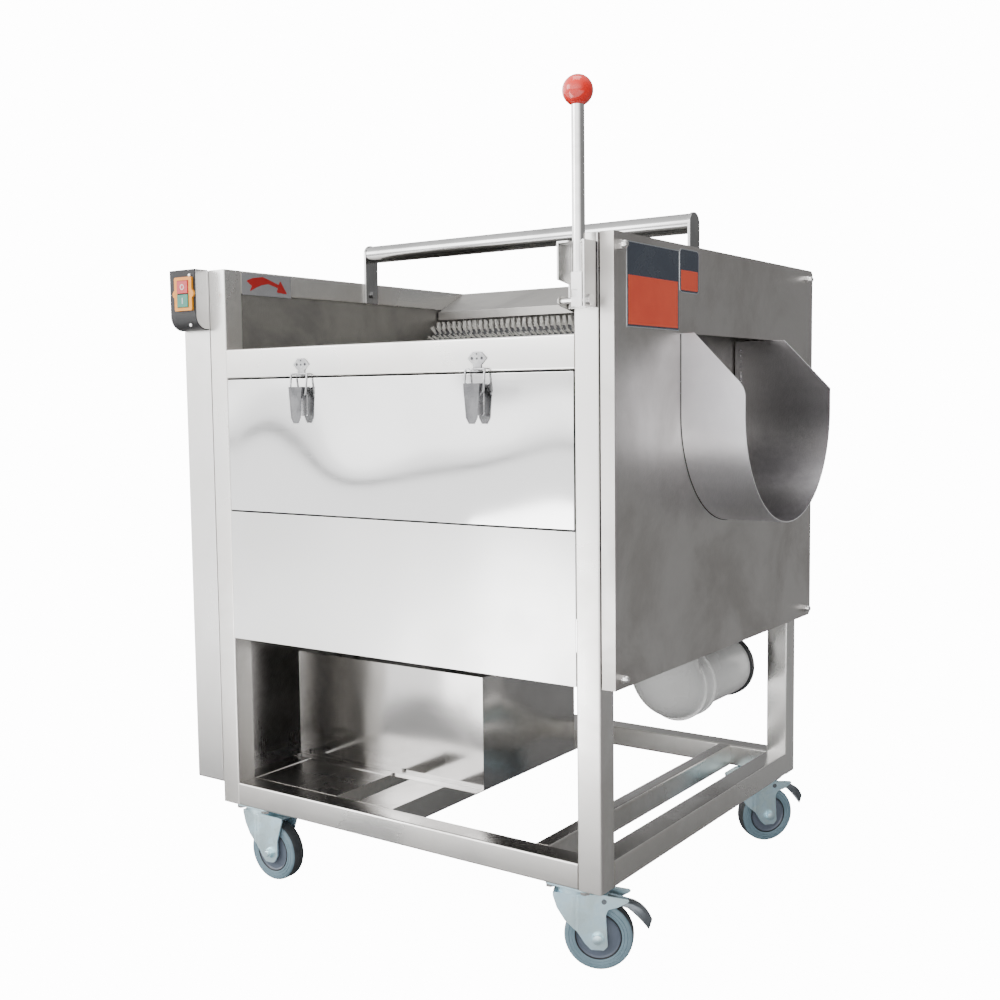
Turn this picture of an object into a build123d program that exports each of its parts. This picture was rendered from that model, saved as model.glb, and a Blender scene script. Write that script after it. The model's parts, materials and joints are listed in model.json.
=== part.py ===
"""Brush-roller machine that peels cocoyams and other roots, on four swivel casters, two of them braked.

The row frame has +Z up, +X to the discharge chute and -Y to the front, where the door and the
lever are. The origin is on the floor, under the middle of the machine's length and depth.
"""

from build123d import *
from math import asin, atan2, cos, degrees, hypot, radians, sin
import os

os.makedirs("parts", exist_ok=True)

# Frame of square tube
tube = 40.0
tube_wall = 2.0
tube_corner = 3.0
frame_width = 785.0
caster_height = 133.0
front_rail_height = 50.0
front_rail_drop = 138.0
panel_foot = 303.0
tray_rise = 47.0
trough_above_tray = 341.0
head_above_trough = 254.0
frame_height = panel_foot + tray_rise + trough_above_tray + head_above_trough

# Reach of what stands outside the frame
cover_depth = 65.0
chute_reach = 130.0
lever_forward = 25.0
knob_diameter = 42.6
panel_overhang = 10.0

# Sheet metal and clearances
sheet = 1.5
plate = 3.0
seat_gap = 0.3
running_gap = 0.05
overrun = 5.0

# Peeling trough
trough_radius = 174.0
trough_wall = 2.0
mouth_rise = 121.0

# Brush rollers
roller_diameter = 96.0
roller_gap = 2.0
roller_clearance = 2.0
arc_rollers = 7
wall_rollers = 2
rear_roller_drop = 54.0
core_diameter = 56.0
shaft_diameter = 20.0
tuft_side = 8.0
tuft_root = 2.0
tuft_rings = 10
tufts_per_ring = 4

# Frame depth, from the rollers and the room in front of and behind them
front_clearance = 66.0
rear_clearance = 42.0
axis_radius = trough_radius + roller_clearance + roller_diameter / 2
roller_reach = axis_radius + roller_diameter / 2
trough_from_front = tube + front_clearance + roller_reach
frame_depth = trough_from_front + roller_reach + rear_clearance + tube

# Drain tray
tray_sheet = 2.0

# Bearing plates, measured inwards from the frame's outer sides
left_plate_inset = 34.0
right_plate_inset = 50.0
boss_diameter = 40.0
boss_length = 10.0
brush_end_gap = 2.0

# Chain drive inside the left cover
chain_pitch = 12.7
sprocket_teeth = 14
sprocket_width = 6.0
chain_side = 1.8
chain_half_height = 5.5
chain_side_gap = 0.4
roller_row = 21.0
motor_row = 37.0
motor_axis_height = 140.0

# Door and latches
door_height = 226.0
door_gap = 2.5
door_side_gap = 1.5
door_return = 20.0
latch_spacing = 359.0
latch_shift = 5.0

# Casters
wheel_diameter = 104.0
tyre_width = 28.0
trail = 34.4
caster_left_inset = 62.0
caster_right_inset = 65.0
caster_front_inset = 36.0
caster_rear_inset = 66.0
front_right_swivel_angle = 25.0
front_left_swivel_angle = 0.6
rear_right_swivel_angle = 51.0
rear_left_swivel_angle = 8.0
pedal_reach = 114.0
pedal_width = 24.0

# Places in the row frame
front_reach = lever_forward + knob_diameter / 2
swivel = radians(rear_right_swivel_angle)
pedal_swing = pedal_reach * sin(swivel) + pedal_width / 2 * cos(swivel)
rear_reach = max(panel_overhang, pedal_swing - caster_rear_inset)
x_right = (cover_depth + frame_width + chute_reach) / 2 - chute_reach
x_left = x_right - frame_width
y_front = -(front_reach + frame_depth + rear_reach) / 2 + front_reach
y_back = y_front + frame_depth
z_foot = caster_height
z_head = z_foot + frame_height
inner = tube - 2 * tube_wall
x_inner_left = x_left + tube
x_inner_right = x_right - tube
y_inner_front = y_front + tube
y_inner_back = y_back - tube
z_front_rail = z_head - front_rail_drop
z_door_top = z_front_rail - front_rail_height - door_gap
z_door = z_door_top - door_height
z_panel_foot = z_foot + panel_foot
y_trough = y_front + trough_from_front
z_tray = z_panel_foot + tray_rise
z_trough = z_tray + trough_above_tray
z_mouth = z_trough + mouth_rise
x_left_plate = x_left + left_plate_inset
x_right_plate = x_right - right_plate_inset


def hollow_tube(start, depth=tube, length=tube):
    """Make a square tube, open at both ends, along the normal of its start plane."""
    with BuildPart() as run:
        with BuildSketch(start):
            RectangleRounded(tube, depth, tube_corner)
            RectangleRounded(inner, depth - 2 * tube_wall, tube_corner - tube_wall, mode=Mode.SUBTRACT)
        extrude(amount=length)
    return run.part


def centred_box(width, depth, height, x, y, z):
    """Make a block from its size, the middle of its footprint and its underside."""
    with BuildPart() as block:
        with BuildSketch(Plane((x, y, z))):
            Rectangle(width, depth)
        extrude(amount=height)
    return block.part


def trough_outline(radius, top, spread=0.0):
    """Draw the trough's U, with its walls spread outwards, up to the height given."""
    width = radius + spread
    with BuildSketch() as outline:
        with BuildLine():
            ThreePointArc((y_trough - width, z_trough), (y_trough, z_trough - width), (y_trough + width, z_trough))
            Polyline(
                (y_trough + width, z_trough),
                (y_trough + width, top),
                (y_trough - width, top),
                (y_trough - width, z_trough),
            )
        make_face()
    return outline.sketch


# Corner posts, capped at the top
post_cap = 2.0
with BuildPart() as corner_posts:
    with BuildSketch(Plane.XY.offset(z_foot)):
        for x in (x_left + tube / 2, x_right - tube / 2):
            for y in (y_front + tube / 2, y_back - tube / 2):
                with Locations((x, y)):
                    RectangleRounded(tube, tube, tube_corner)
                    RectangleRounded(inner, inner, tube_corner - tube_wall, mode=Mode.SUBTRACT)
    extrude(amount=frame_height - post_cap)
    with BuildSketch(Plane.XY.offset(z_head - post_cap)):
        for x in (x_left + tube / 2, x_right - tube / 2):
            for y in (y_front + tube / 2, y_back - tube / 2):
                with Locations((x, y)):
                    RectangleRounded(tube, tube, tube_corner)
    extrude(amount=post_cap)
corner_posts.part.label = "corner_posts"
export_step(corner_posts.part, "parts/corner_posts.step")

# Rails and cross members
span_x = frame_width - 2 * tube
span_y = frame_depth - 2 * tube
z_foot_axis = z_foot + tube / 2
z_head_axis = z_head - tube / 2
y_front_axis = y_front + tube / 2
y_back_axis = y_back - tube / 2
rails = []
for y in (y_front_axis, y_back_axis):
    rails.append(hollow_tube(Plane((x_inner_left, y, z_foot_axis), (0, 1, 0), (1, 0, 0)), length=span_x))
for x in (x_left + tube / 2, x_right - tube / 2):
    for z in (z_foot_axis, z_head_axis):
        rails.append(hollow_tube(Plane((x, y_inner_front, z), (1, 0, 0), (0, 1, 0)), length=span_y))
rails.append(hollow_tube(Plane((x_inner_left, y_back_axis, z_head_axis), (0, 1, 0), (1, 0, 0)), length=span_x))
front_rail_axis = z_front_rail - front_rail_height / 2
front_rail_start = Plane((x_inner_left, y_front_axis, front_rail_axis), (0, 1, 0), (1, 0, 0))
rails.append(hollow_tube(front_rail_start, front_rail_height, span_x))

# Middle rails behind the lower panel, the back cover and the left bearing plate
middle_rail_axis = z_panel_foot + tube / 2
middle_rail_inset = sheet + seat_gap
front_middle_rail = Plane((x_inner_left, y_front_axis + middle_rail_inset, middle_rail_axis), (0, 1, 0), (1, 0, 0))
rails.append(hollow_tube(front_middle_rail, length=span_x))
rails.append(hollow_tube(Plane((x_inner_left, y_back_axis, middle_rail_axis), (0, 1, 0), (1, 0, 0)), length=span_x))
left_middle_rail = Plane((x_left + tube / 2, y_inner_front, middle_rail_axis), (1, 0, 0), (0, 1, 0))
rails.append(hollow_tube(left_middle_rail, length=span_y))

# Single narrower tube between the base rails under the drain
drain_bar_inset = 126.5
drain_bar_width = 25.0
drain_bar_start = Plane((x_right - drain_bar_inset, y_inner_front, z_foot_axis), (0, 0, 1), (0, 1, 0))
rails.append(hollow_tube(drain_bar_start, drain_bar_width, span_y))

# Folded channels that carry the motor box: inset from the frame's left side, and width
motor_channels = ((46.0, 101.0), (147.0, 90.0), (285.0, 77.0))
channel_gap = 0.5
for inset, width in motor_channels:
    with BuildPart() as channel:
        with BuildSketch(Plane.XZ.offset(-y_inner_front)):
            with Locations((x_left + inset + width / 2, z_foot_axis)):
                Rectangle(width - channel_gap, tube)
            with Locations((x_left + inset + width / 2, z_foot_axis - plate)):
                Rectangle(width - channel_gap - 2 * plate, tube, mode=Mode.SUBTRACT)
        extrude(amount=-span_y)
    rails.append(channel.part)
frame_rails = Compound(label="frame_rails", children=rails)
export_step(frame_rails, "parts/frame_rails.step")

# Side panel, a shallow tray held off the frame on four studs
panel_stand_off = 3.0
panel_depth = 22.0
panel_corner = 10.0
stud_diameter = 8.0
stud_foot_inset = 16.0
stud_head_inset = 18.0
stud_side_inset = 15.0
stud_rear_inset = 24.0
panel_length = frame_depth + panel_overhang
panel_height = frame_height - panel_foot
x_panel = x_right + panel_stand_off
x_panel_face = x_panel + panel_depth
z_panel_middle = z_panel_foot + panel_height / 2
y_panel_middle = y_front + panel_length / 2
stud_places = []
for y in (y_front + stud_side_inset, y_back - stud_rear_inset):
    for z in (z_panel_foot + stud_foot_inset, z_head - stud_head_inset):
        stud_places.append((y, z))
trough_outer = trough_radius + trough_wall
with BuildPart() as side_panel:
    with BuildSketch(Plane.YZ.offset(x_panel)):
        with Locations((y_panel_middle, z_panel_middle)):
            Rectangle(panel_length, panel_height)
    extrude(amount=panel_depth)
    rear_edges = side_panel.edges().filter_by(Axis.X).group_by(Axis.Y)[-1]
    fillet(rear_edges, panel_corner)
    tray_mouth = side_panel.faces().sort_by(Axis.X)[0]
    offset(amount=-sheet, openings=tray_mouth)
    with BuildSketch(Plane.YZ.offset(x_panel)):
        add(trough_outline(trough_outer, z_mouth + seat_gap, seat_gap))
        with Locations(stud_places):
            Circle(stud_diameter / 2 + seat_gap)
    extrude(amount=panel_depth + overrun, mode=Mode.SUBTRACT)
side_panel.part.label = "side_panel"
export_step(side_panel.part, "parts/side_panel.step")

# Studs with spacer sleeves, hexagon and dome, one solid each
sleeve_radius = 7.0
nut_width = 13.0
nut_height = 6.5
dome_radius = 5.8
dome_height = 8.0
stud_set = []
for y, z in stud_places:
    with BuildPart() as stud:
        with BuildSketch(Plane((x_right, y, z), (0, 1, 0), (1, 0, 0))):
            Circle(sleeve_radius)
        extrude(amount=panel_stand_off + panel_depth - sheet)
        with BuildSketch(Plane((x_right, y, z), (0, 1, 0), (1, 0, 0))):
            Circle(stud_diameter / 2)
        extrude(amount=panel_stand_off + panel_depth + nut_height)
        with BuildSketch(Plane((x_panel_face, y, z), (0, 1, 0), (1, 0, 0))):
            RegularPolygon(nut_width / 2, 6, major_radius=False)
        extrude(amount=nut_height)
        with BuildSketch(Plane((x_panel_face + nut_height, y, z), (1, 0, 0), (0, -1, 0))):
            with BuildLine():
                Line((0, 0), (0, dome_radius))
                Line((0, dome_radius), (dome_height - dome_radius, dome_radius))
                RadiusArc((dome_height - dome_radius, dome_radius), (dome_height, 0), dome_radius)
                Line((dome_height, 0), (0, 0))
            make_face()
        revolve(axis=Axis((x_panel_face, y, z), (1, 0, 0)))
    stud_set.append(stud.part)
dome_nuts = Compound(label="dome_nuts", children=stud_set)
export_step(dome_nuts, "parts/dome_nuts.step")

# Discharge chute, a U of sheet with a slanted lip
plate_to_gate = 1.0
gate_gap = 2.5
gate_sheet = 2.5
lip_level_reach = 47.0
lip_drop = 84.0
lip_corner = 14.0
x_gate = x_right_plate + plate_to_gate
x_chute = x_gate + gate_sheet + gate_gap
x_lip = x_right + chute_reach
z_lip = z_mouth - lip_drop
lip_run = hypot(chute_reach - lip_level_reach, lip_drop)
lip_slope = ((chute_reach - lip_level_reach) / lip_run, lip_drop / lip_run)
with BuildPart() as discharge_chute:
    with BuildSketch(Plane.YZ.offset(x_chute)):
        add(trough_outline(trough_outer, z_mouth))
        add(trough_outline(trough_radius, z_mouth), mode=Mode.SUBTRACT)
    extrude(amount=x_lip - x_chute)
    with BuildSketch(Plane.XZ.offset(-y_front)):
        with BuildLine():
            Polyline(
                (x_right + lip_level_reach, z_mouth + overrun),
                (x_right + lip_level_reach, z_mouth),
                (x_lip, z_mouth - lip_drop),
                (x_lip + overrun, z_mouth - lip_drop),
                (x_lip + overrun, z_mouth + overrun),
                close=True,
            )
        make_face()
    extrude(amount=-frame_depth, mode=Mode.SUBTRACT)
    with BuildSketch(Plane.XZ.offset(-y_front)):
        with BuildLine():
            Line((x_lip, z_lip), (x_lip - lip_corner * lip_slope[0], z_lip + lip_corner * lip_slope[1]))
            TangentArc(
                (x_lip - lip_corner * lip_slope[0], z_lip + lip_corner * lip_slope[1]),
                (x_lip, z_lip - lip_corner),
                tangent=(lip_slope[0], -lip_slope[1]),
            )
            Line((x_lip, z_lip - lip_corner), (x_lip, z_lip))
        make_face()
    extrude(amount=-trough_from_front, mode=Mode.SUBTRACT)
discharge_chute.part.label = "discharge_chute"
export_step(discharge_chute.part, "parts/discharge_chute.step")

# Drive cover, a tall tray over the chains on the left side
cover_foot = 35.0
cover_corner = 4.0
z_cover = z_foot + cover_foot
with BuildPart() as drive_cover:
    with BuildSketch(Plane.YZ.offset(x_left - cover_depth)):
        with Locations((y_front + frame_depth / 2, (z_cover + z_head) / 2)):
            Rectangle(frame_depth, z_head - z_cover)
    extrude(amount=cover_depth - seat_gap)
    fillet(drive_cover.edges().filter_by(Axis.X), cover_corner)
    offset(amount=-sheet, openings=drive_cover.faces().sort_by(Axis.X)[-1])
drive_cover.part.label = "drive_cover"
export_step(drive_cover.part, "parts/drive_cover.step")

# Roller axes: an arc round the trough, then up the rear wall
roller_radius = roller_diameter / 2
axis_spacing = roller_diameter + roller_gap
arc_start = asin(rear_roller_drop / axis_radius)
arc_step = 2 * asin(axis_spacing / 2 / axis_radius)
roller_axes = []
for k in range(arc_rollers):
    angle = arc_start + k * arc_step
    roller_axes.append((y_trough + axis_radius * cos(angle), z_trough - axis_radius * sin(angle)))
for k in range(1, wall_rollers + 1):
    roller_axes.append((y_trough + axis_radius, roller_axes[0][1] + k * axis_spacing))

# Bearing plates with the rollers' bushes and the spacer bars
shaft_radius = shaft_diameter / 2
bore_radius = shaft_radius + running_gap
shaft_hole = 30.0
z_plate_head = z_head - tube
z_left_plate_foot = z_panel_foot + tube + seat_gap
z_right_plate_foot = z_tray + tray_sheet / 2 + seat_gap
z_right_plate_head = z_head - overrun
spacer_overlap = 20.0
spacer_drop = 1.0
with BuildPart() as left_plate:
    with BuildSketch(Plane.YZ.offset(x_left_plate)):
        with Locations(((y_inner_front + y_inner_back) / 2, (z_left_plate_foot + z_plate_head) / 2)):
            Rectangle(span_y, z_plate_head - z_left_plate_foot)
        with Locations(roller_axes):
            Circle(shaft_hole / 2, mode=Mode.SUBTRACT)
    extrude(amount=plate)
x_right_inner = x_right_plate - plate
with BuildPart() as right_plate:
    with BuildSketch(Plane.YZ.offset(x_right_inner)):
        with Locations(((y_front + y_back) / 2, (z_right_plate_foot + z_right_plate_head) / 2)):
            Rectangle(span_y - 2 * seat_gap, z_right_plate_head - z_right_plate_foot)
    extrude(amount=plate)
    with BuildSketch(Plane.YZ.offset(x_right_inner)):
        with Locations(roller_axes):
            Circle(boss_diameter / 2)
    extrude(amount=-boss_length)
    with BuildSketch(Plane.YZ.offset(x_right_inner - boss_length)):
        with Locations(roller_axes):
            Circle(bore_radius)
    extrude(amount=boss_length + plate + overrun, mode=Mode.SUBTRACT)
    with BuildSketch(Plane.YZ.offset(x_right_inner)):
        add(trough_outline(trough_radius, z_mouth))
    extrude(amount=plate + overrun, mode=Mode.SUBTRACT)
bars = [left_plate.part, right_plate.part]
bar_depth = x_inner_right - x_right_plate
bar_places = (
    (y_front + door_return + seat_gap, y_inner_front + spacer_overlap, z_front_rail - front_rail_height - spacer_drop),
    (y_inner_back - spacer_overlap, y_back - door_return, z_plate_head - spacer_drop),
)
for start, end, top in bar_places:
    height = top - z_right_plate_foot
    x = x_right_plate + bar_depth / 2
    bars.append(centred_box(bar_depth, end - start, height, x, (start + end) / 2, z_right_plate_foot))
end_plates = Compound(label="end_plates", children=bars)
export_step(end_plates, "parts/end_plates.step")

# Flange bearings outside the left plate
flange_radius = 36.0
flange_thick = 9.0
housing_radius = 23.0
housing_length = 28.0
flange_bolt_radius = 28.0
flange_bolt_hole = 8.0
bearings = []
for y, z in roller_axes:
    with BuildPart() as bearing:
        with BuildSketch(Plane.YZ.offset(x_left_plate - flange_thick)):
            with Locations((y, z)):
                Circle(flange_radius)
        extrude(amount=flange_thick)
        with BuildSketch(Plane.YZ.offset(x_left_plate - housing_length)):
            with Locations((y, z)):
                Circle(housing_radius)
        extrude(amount=housing_length - flange_thick)
        with BuildSketch(Plane.YZ.offset(x_left_plate - housing_length)):
            with Locations((y, z)):
                Circle(bore_radius)
        extrude(amount=housing_length, mode=Mode.SUBTRACT)
    bearings.append(bearing.part)
bearing_housings = Compound(label="bearing_housings", children=bearings)
export_step(bearing_housings, "parts/bearing_housings.step")

# Hopper sheets: the front slope, the rear slope and the guard over the top roller
hopper_sheet = 2.0
front_lip_height = 12.0
front_lip_inset = 182.0
front_slope_drop = 107.0
guard_clearance = 2.5
guard_height = 16.5
top_roller = roller_axes[-1]
guard_foot = top_roller[1] + roller_radius + guard_clearance
y_front_lip = y_trough - front_lip_inset
x_hopper = x_left_plate + plate
hopper_width = x_right_inner - x_hopper
slopes = []
with BuildPart() as front_slope:
    with BuildSketch(Plane.YZ.offset(x_hopper)):
        with BuildLine():
            Polyline(
                (y_inner_front + hopper_sheet / 2 + seat_gap, z_front_rail - hopper_sheet / 2),
                (y_front_lip, z_front_rail - front_slope_drop),
                (y_front_lip, z_front_rail - front_slope_drop - front_lip_height),
            )
        trace(line_width=hopper_sheet)
    extrude(amount=hopper_width)
slopes.append(front_slope.part)
with BuildPart() as rear_slope:
    with BuildSketch(Plane.YZ.offset(x_inner_left + seat_gap)):
        with BuildLine():
            Polyline(
                (y_inner_back - hopper_sheet / 2 - seat_gap, z_head - hopper_sheet),
                (top_roller[0], guard_foot + guard_height),
                (top_roller[0], guard_foot),
            )
        trace(line_width=hopper_sheet)
    extrude(amount=x_right_inner - x_inner_left - seat_gap)
slopes.append(rear_slope.part)
hopper_sheets = Compound(label="hopper_sheets", children=slopes)
export_step(hopper_sheets, "parts/hopper_sheets.step")

# Back cover and lower front panel
with BuildPart() as back_panel:
    with BuildSketch(Plane.XZ.offset(-y_back)):
        with Locations(((x_left + x_right) / 2, (z_panel_foot + z_head) / 2)):
            Rectangle(frame_width, z_head - z_panel_foot)
    extrude(amount=-sheet)
back_panel.part.label = "back_panel"
export_step(back_panel.part, "parts/back_panel.step")

panel_return = 18.0
z_lower_top = z_door - door_gap
with BuildPart() as lower_front_panel:
    with BuildSketch(Plane.XZ.offset(-y_front)):
        with Locations(((x_inner_left + x_inner_right) / 2, (z_panel_foot + z_lower_top) / 2)):
            Rectangle(span_x, z_lower_top - z_panel_foot)
    extrude(amount=-sheet)
    with BuildSketch(Plane.XY.offset(z_panel_foot - sheet)):
        with Locations(((x_inner_left + x_inner_right) / 2, y_front + panel_return / 2)):
            Rectangle(span_x, panel_return)
    extrude(amount=sheet)
lower_front_panel.part.label = "lower_front_panel"
export_step(lower_front_panel.part, "parts/lower_front_panel.step")

# Lift-off door, a pan with folded edges
door_width = span_x - 2 * door_side_gap
with BuildPart() as front_door:
    with BuildSketch(Plane.XZ.offset(-y_front)):
        with Locations(((x_inner_left + x_inner_right) / 2, (z_door + z_door_top) / 2)):
            Rectangle(door_width, door_height)
    extrude(amount=-door_return)
    offset(amount=-sheet, openings=front_door.faces().sort_by(Axis.Y)[-1])
front_door.part.label = "front_door"
export_step(front_door.part, "parts/front_door.step")

# Toggle latches: base and lever on the door, bail between them and the keeper on the rail
latch_ear = 1.5
ear_inner_half = 9.0
latch_pin = 3.0
pin_forward = 6.0
pin_below_door_top = 19.5
bail_below_pin = 8.0
bail_forward = 11.0
bail_wire = 3.5
bail_half_width = 17.7
bail_corner = 2.4
keeper_shelf = 2.0
keeper_reach = 9.0
keeper_neck = 15.0
keeper_width = 36.0
keeper_height = 30.0
keeper_thick = 2.0
lever_half_top = 15.0
lever_half_foot = 10.5
lever_length = 60.0
lever_sheet = 1.5
lever_side_depth = 12.0
lever_top = 5.0
lever_side_top = 3.0
lever_side_flat = 6.5
lever_toe = 9.0
base_half_width = 10.5
base_length = 46.0
latch_centre = (x_inner_left + x_inner_right) / 2 + latch_shift
latch_xs = {"left": latch_centre - latch_spacing / 2, "right": latch_centre + latch_spacing / 2}
z_latch_pin = z_door_top - pin_below_door_top
z_bail_pin = z_latch_pin - bail_below_pin
y_latch_pin = y_front - pin_forward
y_bail_pin = y_front - bail_forward
z_shelf = z_front_rail - front_rail_height
z_bail_bar = z_shelf + keeper_shelf + seat_gap + bail_wire / 2
y_bail_bar = y_front - keeper_reach / 2 - bail_wire / 2
lever_face = y_front - bail_forward - latch_pin - lever_sheet
z_lever_top = z_latch_pin + lever_top

bases = []
keepers = []
for x in latch_xs.values():
    with BuildPart() as base:
        with BuildSketch(Plane.XZ.offset(-y_front)):
            with Locations((x, z_latch_pin + latch_pin - base_length / 2)):
                RectangleRounded(2 * base_half_width, base_length, latch_pin)
        extrude(amount=latch_ear)
        with BuildSketch(Plane.YZ.offset(x - base_half_width)):
            with Locations((y_latch_pin, z_latch_pin)):
                Circle(latch_pin)
            with Locations(((y_front + y_latch_pin) / 2, z_latch_pin)):
                Rectangle(pin_forward, 2 * latch_pin)
        extrude(amount=latch_ear)
        with BuildSketch(Plane.YZ.offset(x + base_half_width - latch_ear)):
            with Locations((y_latch_pin, z_latch_pin)):
                Circle(latch_pin)
            with Locations(((y_front + y_latch_pin) / 2, z_latch_pin)):
                Rectangle(pin_forward, 2 * latch_pin)
        extrude(amount=latch_ear)
        with BuildSketch(Plane.YZ.offset(x - lever_half_top - seat_gap)):
            with Locations((y_latch_pin, z_latch_pin)):
                Circle(latch_pin / 2)
        extrude(amount=2 * (lever_half_top + seat_gap))
    bases.append(base.part)
    half = keeper_width / 2
    neck = keeper_neck / 2
    with BuildPart() as keeper:
        with BuildSketch(Plane.XZ.offset(-y_front)):
            with BuildLine():
                Polyline(
                    (x - neck, z_shelf),
                    (x - neck, z_shelf + keeper_height / 3),
                    (x - half, z_shelf + keeper_height * 2 / 3),
                    (x - neck, z_shelf + keeper_height),
                    (x + neck, z_shelf + keeper_height),
                    (x + half, z_shelf + keeper_height * 2 / 3),
                    (x + neck, z_shelf + keeper_height / 3),
                    (x + neck, z_shelf),
                    close=True,
                )
            make_face()
        extrude(amount=keeper_thick)
        with BuildSketch(Plane.XY.offset(z_shelf)):
            with Locations((x, y_front - keeper_reach / 2)):
                Rectangle(keeper_neck, keeper_reach)
        extrude(amount=keeper_shelf)
    keepers.append(keeper.part)
latch_bases = Compound(label="latch_bases", children=bases)
export_step(latch_bases, "parts/latch_bases.step")
latch_keepers = Compound(label="latch_keepers", children=keepers)
export_step(latch_keepers, "parts/latch_keepers.step")

bail_tilt = atan2(y_bail_bar - y_bail_pin, z_bail_bar - z_bail_pin)
bail_length = hypot(y_bail_bar - y_bail_pin, z_bail_bar - z_bail_pin)
bail_stub = lever_half_top - latch_ear - seat_gap
for side, x in latch_xs.items():
    with BuildPart() as latch_lever:
        with BuildSketch(Plane.XZ.offset(-lever_face)):
            with BuildLine():
                Polyline(
                    (x - lever_half_top, z_lever_top),
                    (x - lever_half_foot, z_lever_top - lever_length + lever_toe),
                    (x - lever_half_foot / 2, z_lever_top - lever_length),
                    (x + lever_half_foot / 2, z_lever_top - lever_length),
                    (x + lever_half_foot, z_lever_top - lever_length + lever_toe),
                    (x + lever_half_top, z_lever_top),
                    close=True,
                )
            make_face()
        extrude(amount=lever_sheet)
        for start in (x - lever_half_top, x + lever_half_top - latch_ear):
            with BuildSketch(Plane.YZ.offset(start)):
                with BuildLine():
                    Polyline(
                        (lever_face, z_lever_top),
                        (lever_face + lever_side_flat, z_lever_top),
                        (lever_face + lever_side_depth, z_latch_pin + lever_side_top),
                        (lever_face + lever_side_depth, z_latch_pin - 2 * latch_pin),
                        (lever_face, z_bail_pin - 2 * latch_pin),
                        close=True,
                    )
                make_face()
                with Locations((y_latch_pin, z_latch_pin)):
                    Circle(latch_pin / 2 + running_gap, mode=Mode.SUBTRACT)
                with Locations((y_bail_pin, z_bail_pin)):
                    Circle(bail_wire / 2 + running_gap, mode=Mode.SUBTRACT)
            extrude(amount=latch_ear)
    latch_lever.part.label = f"latch_lever_{side}"
    export_step(latch_lever.part, f"parts/latch_lever_{side}.step")
    bail_plane = Plane((x, y_bail_pin, z_bail_pin), (1, 0, 0), (0, -cos(bail_tilt), sin(bail_tilt)))
    with BuildPart() as latch_bail:
        with BuildLine(bail_plane):
            FilletPolyline(
                (-bail_stub, 0),
                (-bail_half_width, 0),
                (-bail_half_width, bail_length),
                (bail_half_width, bail_length),
                (bail_half_width, 0),
                (bail_stub, 0),
                radius=bail_corner,
            )
        with BuildSketch(Plane((x - bail_stub, y_bail_pin, z_bail_pin), (0, 1, 0), (-1, 0, 0))):
            Circle(bail_wire / 2)
        sweep()
    latch_bail.part.label = f"latch_bail_{side}"
    export_step(latch_bail.part, f"parts/latch_bail_{side}.step")

# Motor box on the channels
box_width = 434.7
box_before_trough = 180.0
box_depth = 300.0
box_height = 200.0
box_flange = 12.0
motor_hole = 40.0
y_motor = roller_axes[arc_rollers // 2][0]
z_motor = z_foot + motor_axis_height
z_box = z_foot + tube
x_box_left = x_left + seat_gap
x_box_right = x_box_left + box_width
y_box_front = y_trough - box_before_trough
with BuildPart() as motor_box:
    with BuildSketch(Plane.XY.offset(z_box)):
        with Locations(((x_box_left + x_box_right) / 2, y_box_front + box_depth / 2)):
            Rectangle(x_box_right - x_box_left, box_depth)
    extrude(amount=box_height)
    with BuildSketch(Plane.XY.offset(z_box + sheet)):
        with Locations(((x_box_left + x_box_right) / 2, y_box_front + box_depth / 2)):
            Rectangle(x_box_right - x_box_left - 2 * sheet, box_depth - 2 * sheet)
    extrude(amount=box_height - 2 * sheet, mode=Mode.SUBTRACT)
    with BuildSketch(Plane.XY.offset(z_box)):
        with Locations(((x_box_left + x_box_right) / 2, y_box_front - box_flange / 2)):
            Rectangle(x_box_right - x_box_left, box_flange)
    extrude(amount=sheet)
    with BuildSketch(Plane.YZ.offset(x_box_left)):
        with Locations((y_motor, z_motor)):
            Circle(motor_hole / 2)
    extrude(amount=sheet, mode=Mode.SUBTRACT)
motor_box.part.label = "motor_box"
export_step(motor_box.part, "parts/motor_box.step")

# Motor with its cooling ribs, end bells and feet
motor_radius = 66.0
motor_length = 230.0
motor_from_left = 40.0
rib_count = 16
rib_height = 5.0
rib_width = 4.0
gear_end_length = 60.0
gear_end_radius = 52.0
foot_width = 120.0
foot_length = 150.0
foot_thick = 8.0
x_motor = x_left + motor_from_left
motor_shaft_radius = 12.0
z_box_floor = z_box + sheet
motor_plane = Plane((x_motor, y_motor, z_motor), (0, 1, 0), (1, 0, 0))
with BuildPart() as motor:
    with BuildSketch(motor_plane):
        Circle(gear_end_radius)
    extrude(amount=gear_end_length)
    with BuildSketch(motor_plane.offset(gear_end_length)):
        Circle(motor_radius - rib_height)
        with PolarLocations(motor_radius - rib_height, rib_count):
            Rectangle(2 * rib_height, rib_width)
    extrude(amount=motor_length)
    with BuildSketch(Plane.XY.offset(z_box_floor)):
        with Locations((x_motor + gear_end_length + motor_length / 2, y_motor)):
            Rectangle(foot_length, foot_width)
    extrude(amount=foot_thick)
    with BuildSketch(Plane.XY.offset(z_box_floor)):
        with Locations((x_motor + gear_end_length + motor_length / 2, y_motor)):
            Rectangle(foot_length, foot_width / 2)
    extrude(amount=z_motor - z_box_floor - motor_radius / 2)
    with BuildSketch(motor_plane):
        Circle(motor_shaft_radius + running_gap)
    extrude(amount=gear_end_length, mode=Mode.SUBTRACT)
motor.part.label = "motor"
export_step(motor.part, "parts/motor.step")


# Sprocket outline, shared by the rollers and the motor
pitch_radius = chain_pitch / 2 / sin(radians(180 / sprocket_teeth))
tooth_height = 6.5
tooth_root_width = 7.0
tooth_tip_width = 3.5
root_clearance = 1.0
sprocket_root = pitch_radius - chain_half_height + root_clearance
sprocket_hub = 18.0
tooth_slope = degrees(atan2(tooth_height, (tooth_root_width - tooth_tip_width) / 2))


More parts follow.
